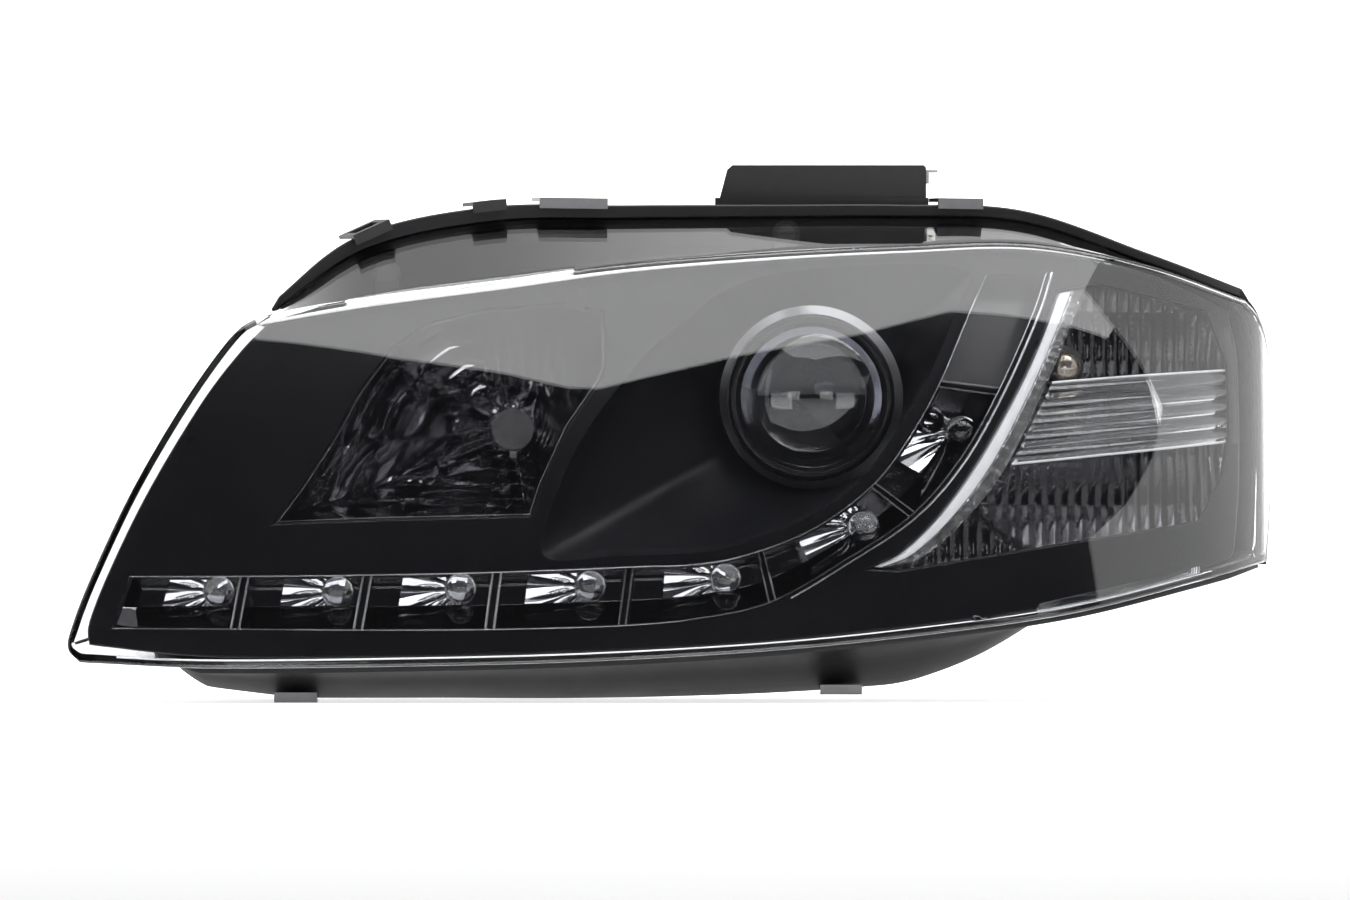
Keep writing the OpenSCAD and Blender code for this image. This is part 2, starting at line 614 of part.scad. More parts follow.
module drl_trim() {
    color([0.85, 0.85, 0.87]) on_datum() {
        strip_bar(0.02, 0.055, bezel_depth - 0.5, bezel_depth + 2.5);
        strip_bar(0.945, 0.98, bezel_depth - 0.5, bezel_depth + 2.5);
    }
}

module drl_dividers() {
    half = 0.0016;
    color([0.8, 0.8, 0.82]) on_datum() for (u = dividers_at)
        strip_bar(0.1, 0.9, bezel_depth + 2, tray_depth - 0.6, u - half, u + half, 1);
}

led_r = 6;
// How much the tray's floor falls away over a radius
function led_tilt(p) = led_r * norm([slope_x(p[0]), slope_z(p[1])]);
module drl_led_lenses() {
    color([0.85, 0.88, 0.9, 0.5]) on_datum() for (p = leds_at) {
        y = behind(p, tray_depth)[1] - led_tilt(p) - 0.8;
        translate([p[0], y, p[1]]) rotate([-90, 0, 0]) intersection() {
            sphere(r = led_r);
            translate([0, 0, -led_r]) cylinder(h = led_r, r = led_r + 1);
        }
    }
}

board_depth = tray_depth + 7;
module drl_circuit_board() {
    color([0.08, 0.3, 0.12]) on_datum() strip_bar(0.1, 0.9, board_depth, board_depth + 1.6, 0.01, 0.88);
}

module drl_led_chips() {
    color([0.95, 0.9, 0.6]) on_datum() for (p = leds_at) {
        y = behind(p, board_depth)[1] - 0.35 * led_tilt(p) - 0.2;
        block([p[0] - 1.7, y - 0.9, p[1] - 1.7], [p[0] + 1.7, y, p[1] + 1.7]);
    }
}

module drl_driver_module() {
    y = rear_y + skin_gap;
    color([0.3, 0.31, 0.33]) on_datum() {
        difference() {
            union() {
                block([driver_at[0] - 20, y, driver_at[1] - 13],
                    [driver_at[0] + 20, y + 9, driver_at[1] + 13]);
                for (s = [-1, 1]) translate([driver_at[0], y, driver_at[1]])
                    block([-6, 0, min(13 * s, 22 * s)], [6, driver_lug_t, max(13 * s, 22 * s)]);
            }
            for (x = [-12:6:12]) block([driver_at[0] + x - 1, y + 6.5, driver_at[1] - 14],
                [driver_at[0] + x + 1, y + 10, driver_at[1] + 14]);
            for (at = screws_at) bar(at, y - 1, y + 4, screw_r + 0.2);
        }
    }
}

// ---------- Light guide and indicator ----------

module light_guide() {
    n = 24;
    function side(d) = [for (i = [0:n]) let (u = i / n)
        [behind(spline(guide_left, u), d), behind(spline(guide_right, u), d)]];
    color([0.85, 0.88, 0.9, 0.6]) on_datum() slab(side(bezel_depth + 1), side(bezel_depth + 8));
}

function indicator_xz(s, t) = patch([[100, 60.5], [155, 68.5], [222, 79]],
    [[167, 173], [185, 177], [226, 166]], [[100, 60.5], [134, 103], [153, 141], [167, 173]],
    [[222, 79], [233, 112], [233, 140], [226, 166]], s, t);
module indicator_reflector() {
    c = 16;
    r = 12;
    function hollow(s, t) = 20 + 16 * sqrt(max(0, 16 * s * (1 - s) * t * (1 - t)));
    function side(extra) = [for (i = [0:c]) [for (j = [0:r])
        behind(indicator_xz(i / c, j / r), hollow(i / c, j / r) + extra)]];
    color([0.35, 0.35, 0.37]) on_datum() difference() {
        slab(side(0), side(2.5));
        bar(indicator_at, 60, 220, holder_r - 3);
    }
}

module indicator_ribbed_lens() {
    ribs = 5;
    rows = 4 * ribs;
    function at(s, t) = patch([[144.5, 102], [190, 106.5], [236, 111.5]],
        [[162, 137], [200, 140], [236, 142.5]], [[144.5, 102], [153, 119], [162, 137]],
        [[236, 111.5], [236.3, 127], [236, 142.5]], s, t);
    function side(d, deep) = [for (i = [0:8]) [for (j = [0:rows])
        behind(at(i / 8, j / rows), d + deep * abs(sin(180 * ribs * j / rows)))]];
    color([0.85, 0.87, 0.9, 0.6]) on_datum() slab(side(bezel_depth + 2.5, -1.5), side(bezel_depth + 7, 0));
}

holder_r = 15;
holder_y = 180;
module indicator_bulb() {
    color([0.95, 0.75, 0.35, 0.8]) on_datum() turned(indicator_at, [[0, 128], [4, 129], [7, 133], [8, 139],
        [7, 148], [5, 154], [5, 157], [8, 157], [8, holder_y - 0.1], [0, holder_y - 0.1]]);
}

module indicator_bulb_holder() {
    color([0.45, 0.45, 0.45]) on_datum() {
        turned(indicator_at, [[0, holder_y], [10, holder_y], [10, holder_y + 12], [holder_r, holder_y + 16],
            [holder_r, rear_y + 0.5], [holder_r + 5, rear_y + 0.5], [holder_r + 5, rear_y + 4],
            [11, rear_y + 4], [11, rear_y + 6], [0, rear_y + 6]]);
        block([indicator_at[0] - 14, rear_y + 3.5, indicator_at[1] - 3],
            [indicator_at[0] + 14, rear_y + 15, indicator_at[1] + 3]);
    }
}

// ---------- Carrier frame, projector and high beam: aimed together ----------

frame_y = [152, 156];
module carrier_frame() {
    color([0.15, 0.15, 0.16]) on_datum() difference() {
        union() {
            bar(projector_at, frame_y[0], frame_y[1], 50);
            bar(high_bulb_at, frame_y[0], frame_y[1], 24);
            block([side_at[0], frame_y[0], 122], [projector_at[0], frame_y[1], 140]);
            block([-9, frame_y[0], level_at[1]], [9, frame_y[1], 131]);
            along_y(frame_y[0], frame_y[1]) polygon([[-9, 60], [9, 60], [45, 90], [30, 122], [-9, 122]]);
            bar(pivot_at, frame_y[0], pivot_y + 7, 15);
            bar(level_at, frame_y[0], pivot_y + 6, 9.5);
            bar(side_at, frame_y[0], pivot_y + 6, 9.5);
            clip_lugs(high_bulb_at, frame_y[1] - 0.01, 17);
        }
        bar(projector_at, frame_y[0] - 1, frame_y[1] + 1, 41);
        bar(high_bulb_at, frame_y[0] - 1, frame_y[1] + 1, 13.5);
        bar(pivot_at, frame_y[0] - 1, pivot_y + 8, pivot_ball_r + 4 + ball_gap);
        for (at = [level_at, side_at]) {
            translate([at[0], pivot_y, at[1]]) sphere(r = link_ball_r + ball_gap);
            bar(at, pivot_y, pivot_y + 8, link_ball_r - 0.7);
        }
    }
}

projector_r = projector_d / 2;
module projector_lens() {
    back = ring_y + 5;
    dome_h = 15;
    dome_r = (projector_r * projector_r + dome_h * dome_h) / (2 * dome_h);
    color([0.9, 0.95, 1, 0.6]) on_datum() translate([projector_at[0], 0, projector_at[1]]) rotate([-90, 0, 0])
        intersection() {
            translate([0, 0, back - dome_h + dome_r]) sphere(r = dome_r, $fn = 96);
            translate([0, 0, back - dome_h - 1]) cylinder(h = dome_h + 1, r = projector_r);
        }
}

module projector_lens_ring() {
    r = projector_r;
    color([0.2, 0.2, 0.21]) on_datum() turned(projector_at, [[r + 0.1, ring_y], [r + 2.5, ring_y],
        [r + 4, ring_y + 1.5], [r + 4, ring_y + 10], [r - 2, ring_y + 10], [r - 2, ring_y + 5.1],
        [r + 0.1, ring_y + 5.1]]);
}

barrel_y = ring_y + 10.1;
module projector_barrel() {
    r = projector_r;
    color([0.3, 0.3, 0.32]) on_datum() turned(projector_at, [[r, barrel_y], [r + 3.5, barrel_y],
        [r + 4.5, 140], [47, 147], [47, frame_y[0] - 0.1], [36, frame_y[0] - 0.1], [r + 2, 140]]);
}

module cutoff_shield() {
    color([0.25, 0.25, 0.25]) on_datum() difference() {
        bar(projector_at, 141, 142.5, projector_r + 1);
        along_y(140, 144) polygon([projector_at + [-50, 1], projector_at + [-4, 1], projector_at + [4, -5],
            projector_at + [50, -5], projector_at + [50, 50], projector_at + [-50, 50]]);
    }
}

// Two ears with a pin between them, at the left of a bulb seat; the wire clip turns on the pin
clip_pin_r = 1.2;
module clip_lugs(at, y, reach) {
    x = at[0] - reach;
    for (s = [-1, 1]) translate([x, y, at[1] + s * 7]) block([-2, 0, -1], [2, 4.5, 1]);
    translate([x, y + 2.6, at[1] - 7]) cylinder(h = 14, r = clip_pin_r);
}

// Spring clip over a bulb's base: a sleeve on the pin, two legs and a cross bar
module bulb_clip(at, y, reach) {
    x = at[0] - reach;
    translate([x, y + 2.6, at[1]]) difference() {
        union() {
            translate([0, 0, -5.7]) cylinder(h = 11.4, r = 2.2);
            block([0, -0.6, -5.7], [5, 0.9, 5.7]);
        }
        translate([0, 0, -7]) cylinder(h = 14, r = clip_pin_r + run_gap);
    }
    translate([x, y + 2, at[1]]) {
        block([4.4, 0, -14], [5.9, 1.5, 14]);
        for (s = [-1, 1]) block([5.8, 0, s * 13 - 1], [reach + 16, 1.5, s * 13 + 1]);
        block([reach + 14.5, 0, -12.1], [reach + 16, 1.5, 12.1]);
    }
}

reflector_end = 208;
module projector_reflector() {
    color([0.75, 0.75, 0.77]) on_datum() {
        turned(projector_at, [[38.5, frame_y[0]], [40.5, frame_y[0]], [40.5, 158], [37.5, 172], [31, 187],
            [22, 199], [19.5, 204], [19.5, reflector_end], [8.5, reflector_end], [8.5, 203], [18, 197],
            [28.5, 185], [35.5, 171], [38.5, 158]]);
        clip_lugs(projector_at, reflector_end - 0.01, 17);
    }
}

// Single-filament bulb: glass forwards of the seat, base and two blades behind it
module halogen_bulb(at, seat, glass) {
    turned(at, [[0, seat - glass], [3, seat - glass + 0.8], [5.5, seat - glass + 4], [5.5, seat - 6],
        [8, seat - 4], [8, seat], [12.9, seat], [12.9, seat + 1.8], [10.8, seat + 1.8],
        [10.8, seat + 10], [0, seat + 10]]);
    for (x = [at[0] - 4.5, at[0] + 4.5])
        block([x - 3, seat + 9.5, at[1] - 0.4], [x + 3, seat + 17, at[1] + 0.4]);
}

module low_beam_bulb() {
    color([0.9, 0.9, 0.85, 0.8]) on_datum() halogen_bulb(projector_at, reflector_end + 0.1, 36);
}

module low_beam_bulb_clip() {
    color([0.7, 0.7, 0.7]) on_datum() bulb_clip(projector_at, reflector_end, 17);
}

high_back_y = 146;
module high_beam_reflector() {
    n = 45;
    rim = outline_points(high_rim, n);
    seat_r = 9;
    rim_depth = bezel_depth + bezel_t + 7.5;
    function row(t, g) = [for (p = rim) let (d = p - high_bulb_at,
        a = behind(p + g * unit(d), rim_depth + g * 0.5),
        b = [high_bulb_at[0] + (seat_r + 0.5 * g) * d[0] / norm(d), high_back_y + g,
            high_bulb_at[1] + (seat_r + 0.5 * g) * d[1] / norm(d)], m = mix(a, b, t))
        [m[0], mix(a[1], b[1], sqrt(t)), m[2]]];
    color([0.45, 0.45, 0.47]) on_datum() {
        loft([row(1, 0), row(0.8, 0), row(0.6, 0), row(0.35, 0), row(0.15, 0), row(0, 0), row(0, 2),
            row(0.15, 2), row(0.35, 2), row(0.6, 2), row(0.8, 2), row(1, 2)]);
        turned(high_bulb_at, [[9.5, high_back_y + 2.2], [16, high_back_y + 2.2], [16, frame_y[0] - 0.1],
            [9.5, frame_y[0] - 0.1]]);
    }
}

module high_beam_bulb() {
    color([0.9, 0.9, 0.85, 0.8]) on_datum() halogen_bulb(high_bulb_at, frame_y[0] + 0.1, 34);
}

module high_beam_bulb_shield() {
    color([0.4, 0.4, 0.42]) on_datum() {
        turned(high_bulb_at, [[0, 104], [9, 104], [9.6, 105], [9.6, 124], [8.4, 124], [8.4, 106], [0, 106]]);
        block([high_bulb_at[0] - 1.5, 122, high_bulb_at[1] - 12.4],
            [high_bulb_at[0] + 1.5, 140, high_bulb_at[1] - 9]);
    }
}

module high_beam_bulb_clip() {
    color([0.7, 0.7, 0.7]) on_datum() bulb_clip(high_bulb_at, frame_y[1], 17);
}

// ---------- Three-point aiming ----------

module pivot_ball_stud() {
    color([0.75, 0.73, 0.68]) on_datum() {
        translate([pivot_at[0], pivot_y, pivot_at[1]]) sphere(r = pivot_ball_r);
        turned(pivot_at, [[0, pivot_y], [3, pivot_y], [3, pivot_y + 14], [7, pivot_y + 22], [9, rear_in - 5],
            [13, rear_in - 5], [13, rear_in - skin_gap], [0, rear_in - skin_gap]]);
    }
}

module pivot_socket() {
    r = pivot_ball_r + 4;
    color([0.9, 0.9, 0.88]) on_datum() translate([pivot_at[0], pivot_y, pivot_at[1]]) rotate([-90, 0, 0])
        difference() {
            intersection() {
                sphere(r = r);
                translate([0, 0, -8]) cylinder(h = 13, r = r + 1);
            }
            sphere(r = pivot_ball_r + ball_gap);
            cylinder(h = 12, r = pivot_ball_r - 0.9);
        }
}

// Ball on the end of a straight rod along y
module ball_rod(at, end_y) {
    translate([at[0], pivot_y, at[1]]) sphere(r = link_ball_r);
    turned(at, [[0, pivot_y], [2.8, pivot_y], [2.8, pivot_y + 9], [rod_r, pivot_y + 11], [rod_r, end_y],
        [0, end_y]]);
}

module levelling_spindle() {
    color([0.85, 0.85, 0.8]) on_datum() ball_rod(level_at, rear_y + 12);
}

module horizontal_ball_stud() {
    color([0.85, 0.85, 0.8]) on_datum() ball_rod(side_at, rear_y + 8);
}

module levelling_motor() {
    y = rear_y + skin_gap;
    at = level_at;
    color([0.12, 0.12, 0.13]) on_datum() difference() {
        union() {
            block([at[0] - 19, y, at[1] - 20], [at[0] + 19, y + 19, at[1] + 20]);
            block([at[0] - 26, y, at[1] + 16], [at[0] + 26, y + motor_flange_t, at[1] + 38]);
            bar(knob_at, y, y + 8, 9);
            bar(knob_at, y, y + 16, 2.5);
            block([at[0] + 10, y, knob_at[1] - 8], [knob_at[0], y + 8, knob_at[1] + 8]);
        }
        bar(at, y - 1, rear_y + 17, rod_r + run_gap);
        for (at = screws_at) bar(at, y - 1, y + 20, screw_r + 0.2);
    }
}

// Fluted knob on a fixed pin
module knob(at, y) {
    difference() {
        bar(at, y, y + 9, 9);
        bar(at, y - 1, y + 8.1, 2.5 + run_gap);
        for (a = [0:45:315]) translate([at[0] + 10 * cos(a), y - 1, at[1] + 10 * sin(a)])
            rotate([-90, 0, 0]) cylinder(h = 11, r = 2.2);
    }
}

module vertical_adjuster_knob() {
    color([0.85, 0.85, 0.83]) on_datum() knob(knob_at, rear_y + skin_gap + 8.3);
}

module horizontal_adjuster_body() {
    y = rear_y + skin_gap;
    color([0.12, 0.12, 0.13]) on_datum() difference() {
        union() {
            bar(side_at, y, y + 13, 11);
            bar(side_at, y, y + 3, 15);
            bar(side_at, y, y + 21, 2.5);
        }
        bar(side_at, y - 1, rear_y + 12, rod_r + run_gap);
    }
}

module horizontal_adjuster_knob() {
    color([0.85, 0.85, 0.83]) on_datum() knob(side_at, rear_y + skin_gap + 13.3);
}

// ---------- Rear caps, connector and breathers ----------

cap_seal_t = 2.5;
// Twist-off cap over a hole of radius r, with a grip bar, and lugs behind the wall
module rear_cap(at, r) {
    y = rear_y + cap_seal_t + 0.1;
    skirt = r - 0.5;
    turned(at, [[skirt - 2.5, rear_in - 6], [skirt, rear_in - 6], [skirt, y], [r + 6.5, y], [r + 6.5, y + 4],
        [r + 2, y + 6], [r - 3, y + 16], [r - 6, y + 18], [0, y + 18], [0, y + 15.5], [r - 7, y + 15.5],
        [skirt - 2.5, y + 5]]);
    difference() {
        block([at[0] - r + 8, y + 17, at[1] - 4], [at[0] + r - 8, y + 24, at[1] + 4]);
        for (x = [-r + 14:6:r - 14])
            block([at[0] + x - 1, y + 22, at[1] - 5], [at[0] + x + 1, y + 25, at[1] + 5]);
    }
    for (a = [0:120:240]) translate([at[0], 0, at[1]]) rotate([0, a, 0])
        block([skirt - 1, rear_in - 4.5, -4], [r + stop_r, rear_in - 1, 4]);
}

module low_beam_cap() {
    color([0.08, 0.08, 0.085]) on_datum() rear_cap(projector_at, low_hole_r);
}

module high_beam_cap() {
    color([0.08, 0.08, 0.085]) on_datum() rear_cap(high_bulb_at, high_hole_r);
}

module cap_seals() {
    color([0.15, 0.15, 0.15]) on_datum() for (c = [[projector_at, low_hole_r], [high_bulb_at, high_hole_r]])
        turned(c[0], [[c[1] + 3.9, rear_y + 0.1], [c[1] + 6.3, rear_y + 0.1],
            [c[1] + 6.3, rear_y + cap_seal_t - 0.3], [c[1] + 3.9, rear_y + cap_seal_t - 0.3]]);
}

connector_w = 44;
connector_h = 24;
module main_connector() {
    x = connector_at[0];
    z = connector_at[1];
    y = rear_y + skin_gap;
    color([0.1, 0.1, 0.11]) on_datum() difference() {
        union() {
            block([x - connector_w / 2, y, z - connector_h / 2],
                [x + connector_w / 2, y + 24, z + connector_h / 2]);
            block([x - connector_w / 2 - 4, y, z - connector_h / 2 - 4],
                [x + connector_w / 2 + 4, y + 3, z + connector_h / 2 + 4]);
            block([x - 14, rear_in - 2, z - 4.5], [x + 14, y + 1, z + 4.5]);
            block([x - 5, y, z + connector_h / 2 - 0.1], [x + 5, y + 18, z + connector_h / 2 + 3]);
        }
        block([x - connector_w / 2 + 2, y + 3, z - connector_h / 2 + 2],
            [x + connector_w / 2 - 2, y + 25, z + connector_h / 2 - 2]);
        for (i = [-4:4], s = [-1, 1]) block([x + 4 * i - 0.5, rear_in - 3, z + 3 * s - 0.5],
            [x + 4 * i + 0.5, y + 4, z + 3 * s + 0.5]);
    }
}

module connector_pins() {
    color([0.85, 0.7, 0.35]) on_datum() for (i = [-3:3], s = [-1, 1])
        block([connector_at[0] + 4 * i - 0.4, rear_in - 6, connector_at[1] + 3 * s - 0.4],
            [connector_at[0] + 4 * i + 0.4, rear_y + 10, connector_at[1] + 3 * s + 0.4]);
}

breather_r = 4.2;
module breather_caps() {
    color([0.15, 0.15, 0.15]) on_datum() for (at = breathers_at) {
        turned(at, [[2, rear_in - 4], [breather_r - 0.2, rear_in - 4], [breather_r - 0.2, rear_y + skin_gap],
            [9, rear_y + skin_gap], [9, rear_y + 5], [7.5, rear_y + 7], [0, rear_y + 7], [0, rear_y + 5],
            [2, rear_y + 5]]);
    }
}

outer_lens();
lens_seal();
housing();
housing_rear_panel();
upper_mount_bracket();
upper_mount_bush();
bracket_speed_nut();
inner_mount_bracket();
outer_mount_bracket();
mount_bushes();
housing_screws();
rim_clips();
rim_tabs();
inner_bezel();
bezel_brackets();
bezel_screws();
projector_bowl();
drl_reflector();
drl_trim();
drl_dividers();
drl_led_lenses();
drl_circuit_board();
drl_led_chips();
drl_driver_module();
light_guide();
indicator_reflector();
indicator_ribbed_lens();
indicator_bulb();
indicator_bulb_holder();
carrier_frame();
projector_lens();
projector_lens_ring();
projector_barrel();
cutoff_shield();
projector_reflector();
low_beam_bulb();
low_beam_bulb_clip();
high_beam_reflector();
high_beam_bulb();
high_beam_bulb_shield();
high_beam_bulb_clip();
pivot_ball_stud();
pivot_socket();
levelling_motor();
levelling_spindle();
vertical_adjuster_knob();
horizontal_adjuster_body();
horizontal_ball_stud();
horizontal_adjuster_knob();
low_beam_cap();
high_beam_cap();
cap_seals();
main_connector();
connector_pins();
breather_caps();
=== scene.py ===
"""Looks of the left-hand car headlight assembly. Shapes are given in lamp millimetres, as in the CAD model:
x towards the fender, y towards the rear of the car, z up from the lamp's lowest point."""
import math

import bmesh
import bpy
import numpy as np
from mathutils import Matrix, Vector
from mathutils.geometry import delaunay_2d_cdt


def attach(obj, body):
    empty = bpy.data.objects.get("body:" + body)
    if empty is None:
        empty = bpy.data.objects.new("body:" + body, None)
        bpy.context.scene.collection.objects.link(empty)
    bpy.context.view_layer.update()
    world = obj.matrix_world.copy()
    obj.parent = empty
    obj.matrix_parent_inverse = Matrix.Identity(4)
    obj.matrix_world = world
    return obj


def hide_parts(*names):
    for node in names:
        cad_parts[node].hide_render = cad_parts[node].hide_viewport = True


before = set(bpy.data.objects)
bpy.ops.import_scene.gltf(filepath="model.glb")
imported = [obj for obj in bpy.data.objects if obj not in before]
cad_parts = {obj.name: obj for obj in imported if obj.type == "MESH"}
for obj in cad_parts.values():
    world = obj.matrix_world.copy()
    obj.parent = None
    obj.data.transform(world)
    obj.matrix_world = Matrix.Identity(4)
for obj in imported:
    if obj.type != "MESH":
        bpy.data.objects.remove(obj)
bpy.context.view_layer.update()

DATUM = np.array([64.0, 180.0, 223.4])
MM = 0.001
PROJECTOR = np.array([58.5, 130.7])
HIGH_BULB = np.array([-70.0, 117.0])
INDICATOR = np.array([167.0, 143.6])
BEZEL_DEPTH, BEZEL_T, TRAY_DEPTH = 9.0, 2.5, 22.0  # depths behind the lens surface
LENS_WALL = 3.0
REAR_Y, WALL = 240.0, 3.0
LED_R, BULB_HOLE_R = 6.0, 9.5

# ---------- Outlines, as (x, z) seen from the front ----------

LENS_BOTTOM = [(-254.5, 17.2), (-200, 15.2), (-118, 16), (-40, 18), (40, 22.5), (110, 29.5), (170, 38),
               (222, 50.5), (257, 60)]
LENS_TOP = [(-179.5, 165.3), (-130, 173.5), (-75, 180.6), (-20, 188), (40, 193), (97, 196.1), (152, 197.6),
            (203, 188.6), (248, 173.5)]
LENS_LEFT = [LENS_BOTTOM[0], (-259.8, 23.5), (-257.8, 34), (-249.6, 55), (-232.2, 92), (-210, 130),
             (-190.6, 157), LENS_TOP[0]]
LENS_RIGHT = [LENS_BOTTOM[-1], (259.2, 90), (259.8, 122), (258.5, 152), (254, 166.5), LENS_TOP[-1]]
RIM_TOP = [(-172, 168, 34), (-135, 197, 50), (-80, 209.5, 62), (-22, 210.3, 66), (40, 210.6, 66),
           (97, 210.8, 62), (150, 208.5, 50), (203, 190.5, 26), (246, 174.5, 13)]
BEZEL_BOTTOM = [(-249.5, 25.5), (-196, 20.6), (-118, 20.9), (-40, 22.8), (40, 27.3), (110, 34.4), (165, 42),
                (208, 51.5), (240, 62)]
BEZEL_TOP = [(-173.5, 162), (-127, 170.4), (-75, 178), (-20, 185.5), (40, 190.3), (97, 193), (150, 193.5),
             (200, 184.5), (238, 168.5)]
BEZEL_LEFT = [BEZEL_BOTTOM[0], (-249.5, 34), (-241, 56), (-224.5, 90), (-202.5, 127), (-186, 149),
              BEZEL_TOP[0]]
BEZEL_RIGHT = [BEZEL_BOTTOM[-1], (242.5, 90), (243, 120), (242, 150), BEZEL_TOP[-1]]
HIGH_OPENING = [(-173, 75.7), (-160, 93), (-147, 113), (-135.9, 133.5), (-121.7, 152.4), (-106, 163),
                (-80, 169), (-48, 171.5), (-30, 168), (-29, 146), (-31, 138), (-45, 118), (-56.5, 93),
                (-61, 79), (-128, 77.5)]
HIGH_RIM = [(-177, 73), (-163, 92), (-150, 112), (-139, 133), (-125, 154), (-108, 165.5), (-80, 172),
            (-48, 174), (-32, 170), (-31.5, 143), (-35, 136.5), (-47.5, 118), (-59, 94), (-63.5, 76.5),
            (-128, 74)]
BOWL_RIM = [(-56, 63), (-50, 91), (-38.5, 115), (-24.5, 134.5), (-9, 152.5), (7, 165.5), (21, 176),
            (45, 184), (85, 187.3), (124, 186), (122, 171), (108, 138.5), (92.5, 113), (78, 94.5),
            (58.5, 80.5), (35, 70.3), (11.2, 64.6), (-25, 63)]
STRIP_IN = [(-233, 54.6), (-183.6, 54.8), (-131.2, 55.4), (-76, 56.6), (-19.4, 58.8), (12, 60.2),
            (36.3, 65.6), (61, 76.1), (84.3, 93.5), (99.5, 113.5), (112.7, 136.5), (126.9, 169.4),
            (133.3, 183.2)]
STRIP_OUT = [(-240.8, 31.2), (-187.9, 31), (-135.5, 30.7), (-79.3, 30.9), (-22.8, 32.5), (13, 36),
             (41.5, 42.8), (73, 60.5), (101.9, 80), (122.5, 103.5), (139.5, 133), (154.5, 166),
             (160.8, 184.5)]
LEDS = [(-194.8, 47.9), (-144, 47.9), (-91.6, 49.2), (-36.3, 50.3), (21.4, 53.3), (80.4, 75.7),
        (122.7, 115.8)]
CELLS = np.array([0, 1, 2, 3, 4, 6, 8, 10, 12]) / 12  # where each running-light cell starts along the strip
FLOOR_W = 0.58  # how far across the strip the sloping floor of a cell starts
GUIDE_LEFT = [(165, 175.5), (158.5, 158), (148.5, 136), (131, 104.7), (113.5, 80.5), (97, 64.5), (84, 58)]
GUIDE_RIGHT = [(177, 177.5), (169, 158), (159.5, 136), (142, 101), (125, 79), (107, 63), (93, 57.8)]
INDICATOR_OPENING = [(164, 177.5), (157.5, 158), (147, 136), (129.5, 105), (112, 80.5), (95.5, 64.5),
                     (80, 56.5), (95, 55.5), (160, 66), (226, 76.5), (236, 95), (239.5, 115), (239, 145),
                     (230, 168.5), (205, 175), (181, 180.5)]

# ---------- Curves and surfaces ----------


def spline(points, u, closed=False):
    """Smooth curve through points at parameters u from 0 to 1."""
    p = np.asarray(points, float)
    u = np.asarray(u, float)
    n = len(p) if closed else len(p) - 1
    i = np.floor(u * n).astype(int)
    if closed:
        f = u * n - i
        a, b, c, d = (p[(i + k) % n] for k in (-1, 0, 1, 2))
    else:
        i = np.clip(i, 0, n - 1)
        f = u * n - i
        q = np.vstack([2 * p[0] - p[1], p, 2 * p[-1] - p[-2]])
        a, b, c, d = (q[i + k] for k in (0, 1, 2, 3))
    f = f[..., None]
    return (2 * b + (c - a) * f + (2 * a - 5 * b + 4 * c - d) * f ** 2
            + (3 * b - a - 3 * c + d) * f ** 3) / 2


def patch(bottom, top, left, right, s, t):
    """Surface stretched between four edge curves."""
    s, t = np.broadcast_arrays(np.asarray(s, float), np.asarray(t, float))
    b, tp, l, r = spline(bottom, s), spline(top, s), spline(left, t), spline(right, t)
    s, t = s[..., None], t[..., None]
    b0, b1, t0, t1 = (np.asarray(v, float) for v in (bottom[0], bottom[-1], top[0], top[-1]))
    return ((1 - t) * b + t * tp + (1 - s) * l + s * r
            - (1 - s) * (1 - t) * b0 - s * (1 - t) * b1 - (1 - s) * t * t0 - s * t * t1)


SWEEP_X, INNER_RUN, INNER_SET = -120, 140, 20
OUTER_RUN, OUTER_SET = 380, 165
RAKE_Z, RAKE, RAKE_GROWTH = 16, 0.15, 0.0012


def sweep(x):
    """How far the lens runs back at x: a little at the grille end, and a lot at the fender end."""
    inner = INNER_SET * (np.maximum(SWEEP_X - x, 0) / INNER_RUN) ** 2
    r = np.clip((x - SWEEP_X) / OUTER_RUN, 0, 0.9999)
    return np.where(x < SWEEP_X, inner, OUTER_SET * (1 - (1 - r ** 2.2) ** (1 / 1.8)))


def rake(z):
    """How far the lens leans back at height z."""
    h = z - RAKE_Z
    return RAKE * h + RAKE_GROWTH * h * h


def slopes(p):
    """How steeply the lens surface runs back along x and along z."""
    x, z = p[..., 0], p[..., 1]
    return (sweep(x) - sweep(x - 0.5)) / 0.5, (rake(z + 0.5) - rake(z)) / 0.5


def behind(p, d):
    """The place at (x, z) that lies d behind the lens surface."""
    p = np.asarray(p, float)
    sx, sz = slopes(p)
    y = sweep(p[..., 0]) + rake(p[..., 1]) + d * np.sqrt(1 + sx ** 2 + sz ** 2)
    return np.stack([p[..., 0], y, p[..., 1]], axis=-1)


def inward(p):
    """Direction into the lamp, square to the lens surface."""
    sx, sz = slopes(p)
    n = np.stack([-sx, np.ones_like(sx), -sz], axis=-1)
    return n / np.linalg.norm(n, axis=-1, keepdims=True)


def at_depth(p, y):
    """The place at (x, z) and y."""
    p = np.asarray(p, float)
    return np.stack([p[..., 0], np.broadcast_to(y, p[..., 0].shape), p[..., 1]], axis=-1)


def across(u, w):
    """Place u along the running-light strip and w across it, both from 0 to 1."""
    w = np.asarray(w, float)[..., None]
    return (1 - w) * spline(STRIP_IN, u) + w * spline(STRIP_OUT, u)


def unit(v):
    return v / np.maximum(np.linalg.norm(v, axis=-1, keepdims=True), 1e-9)


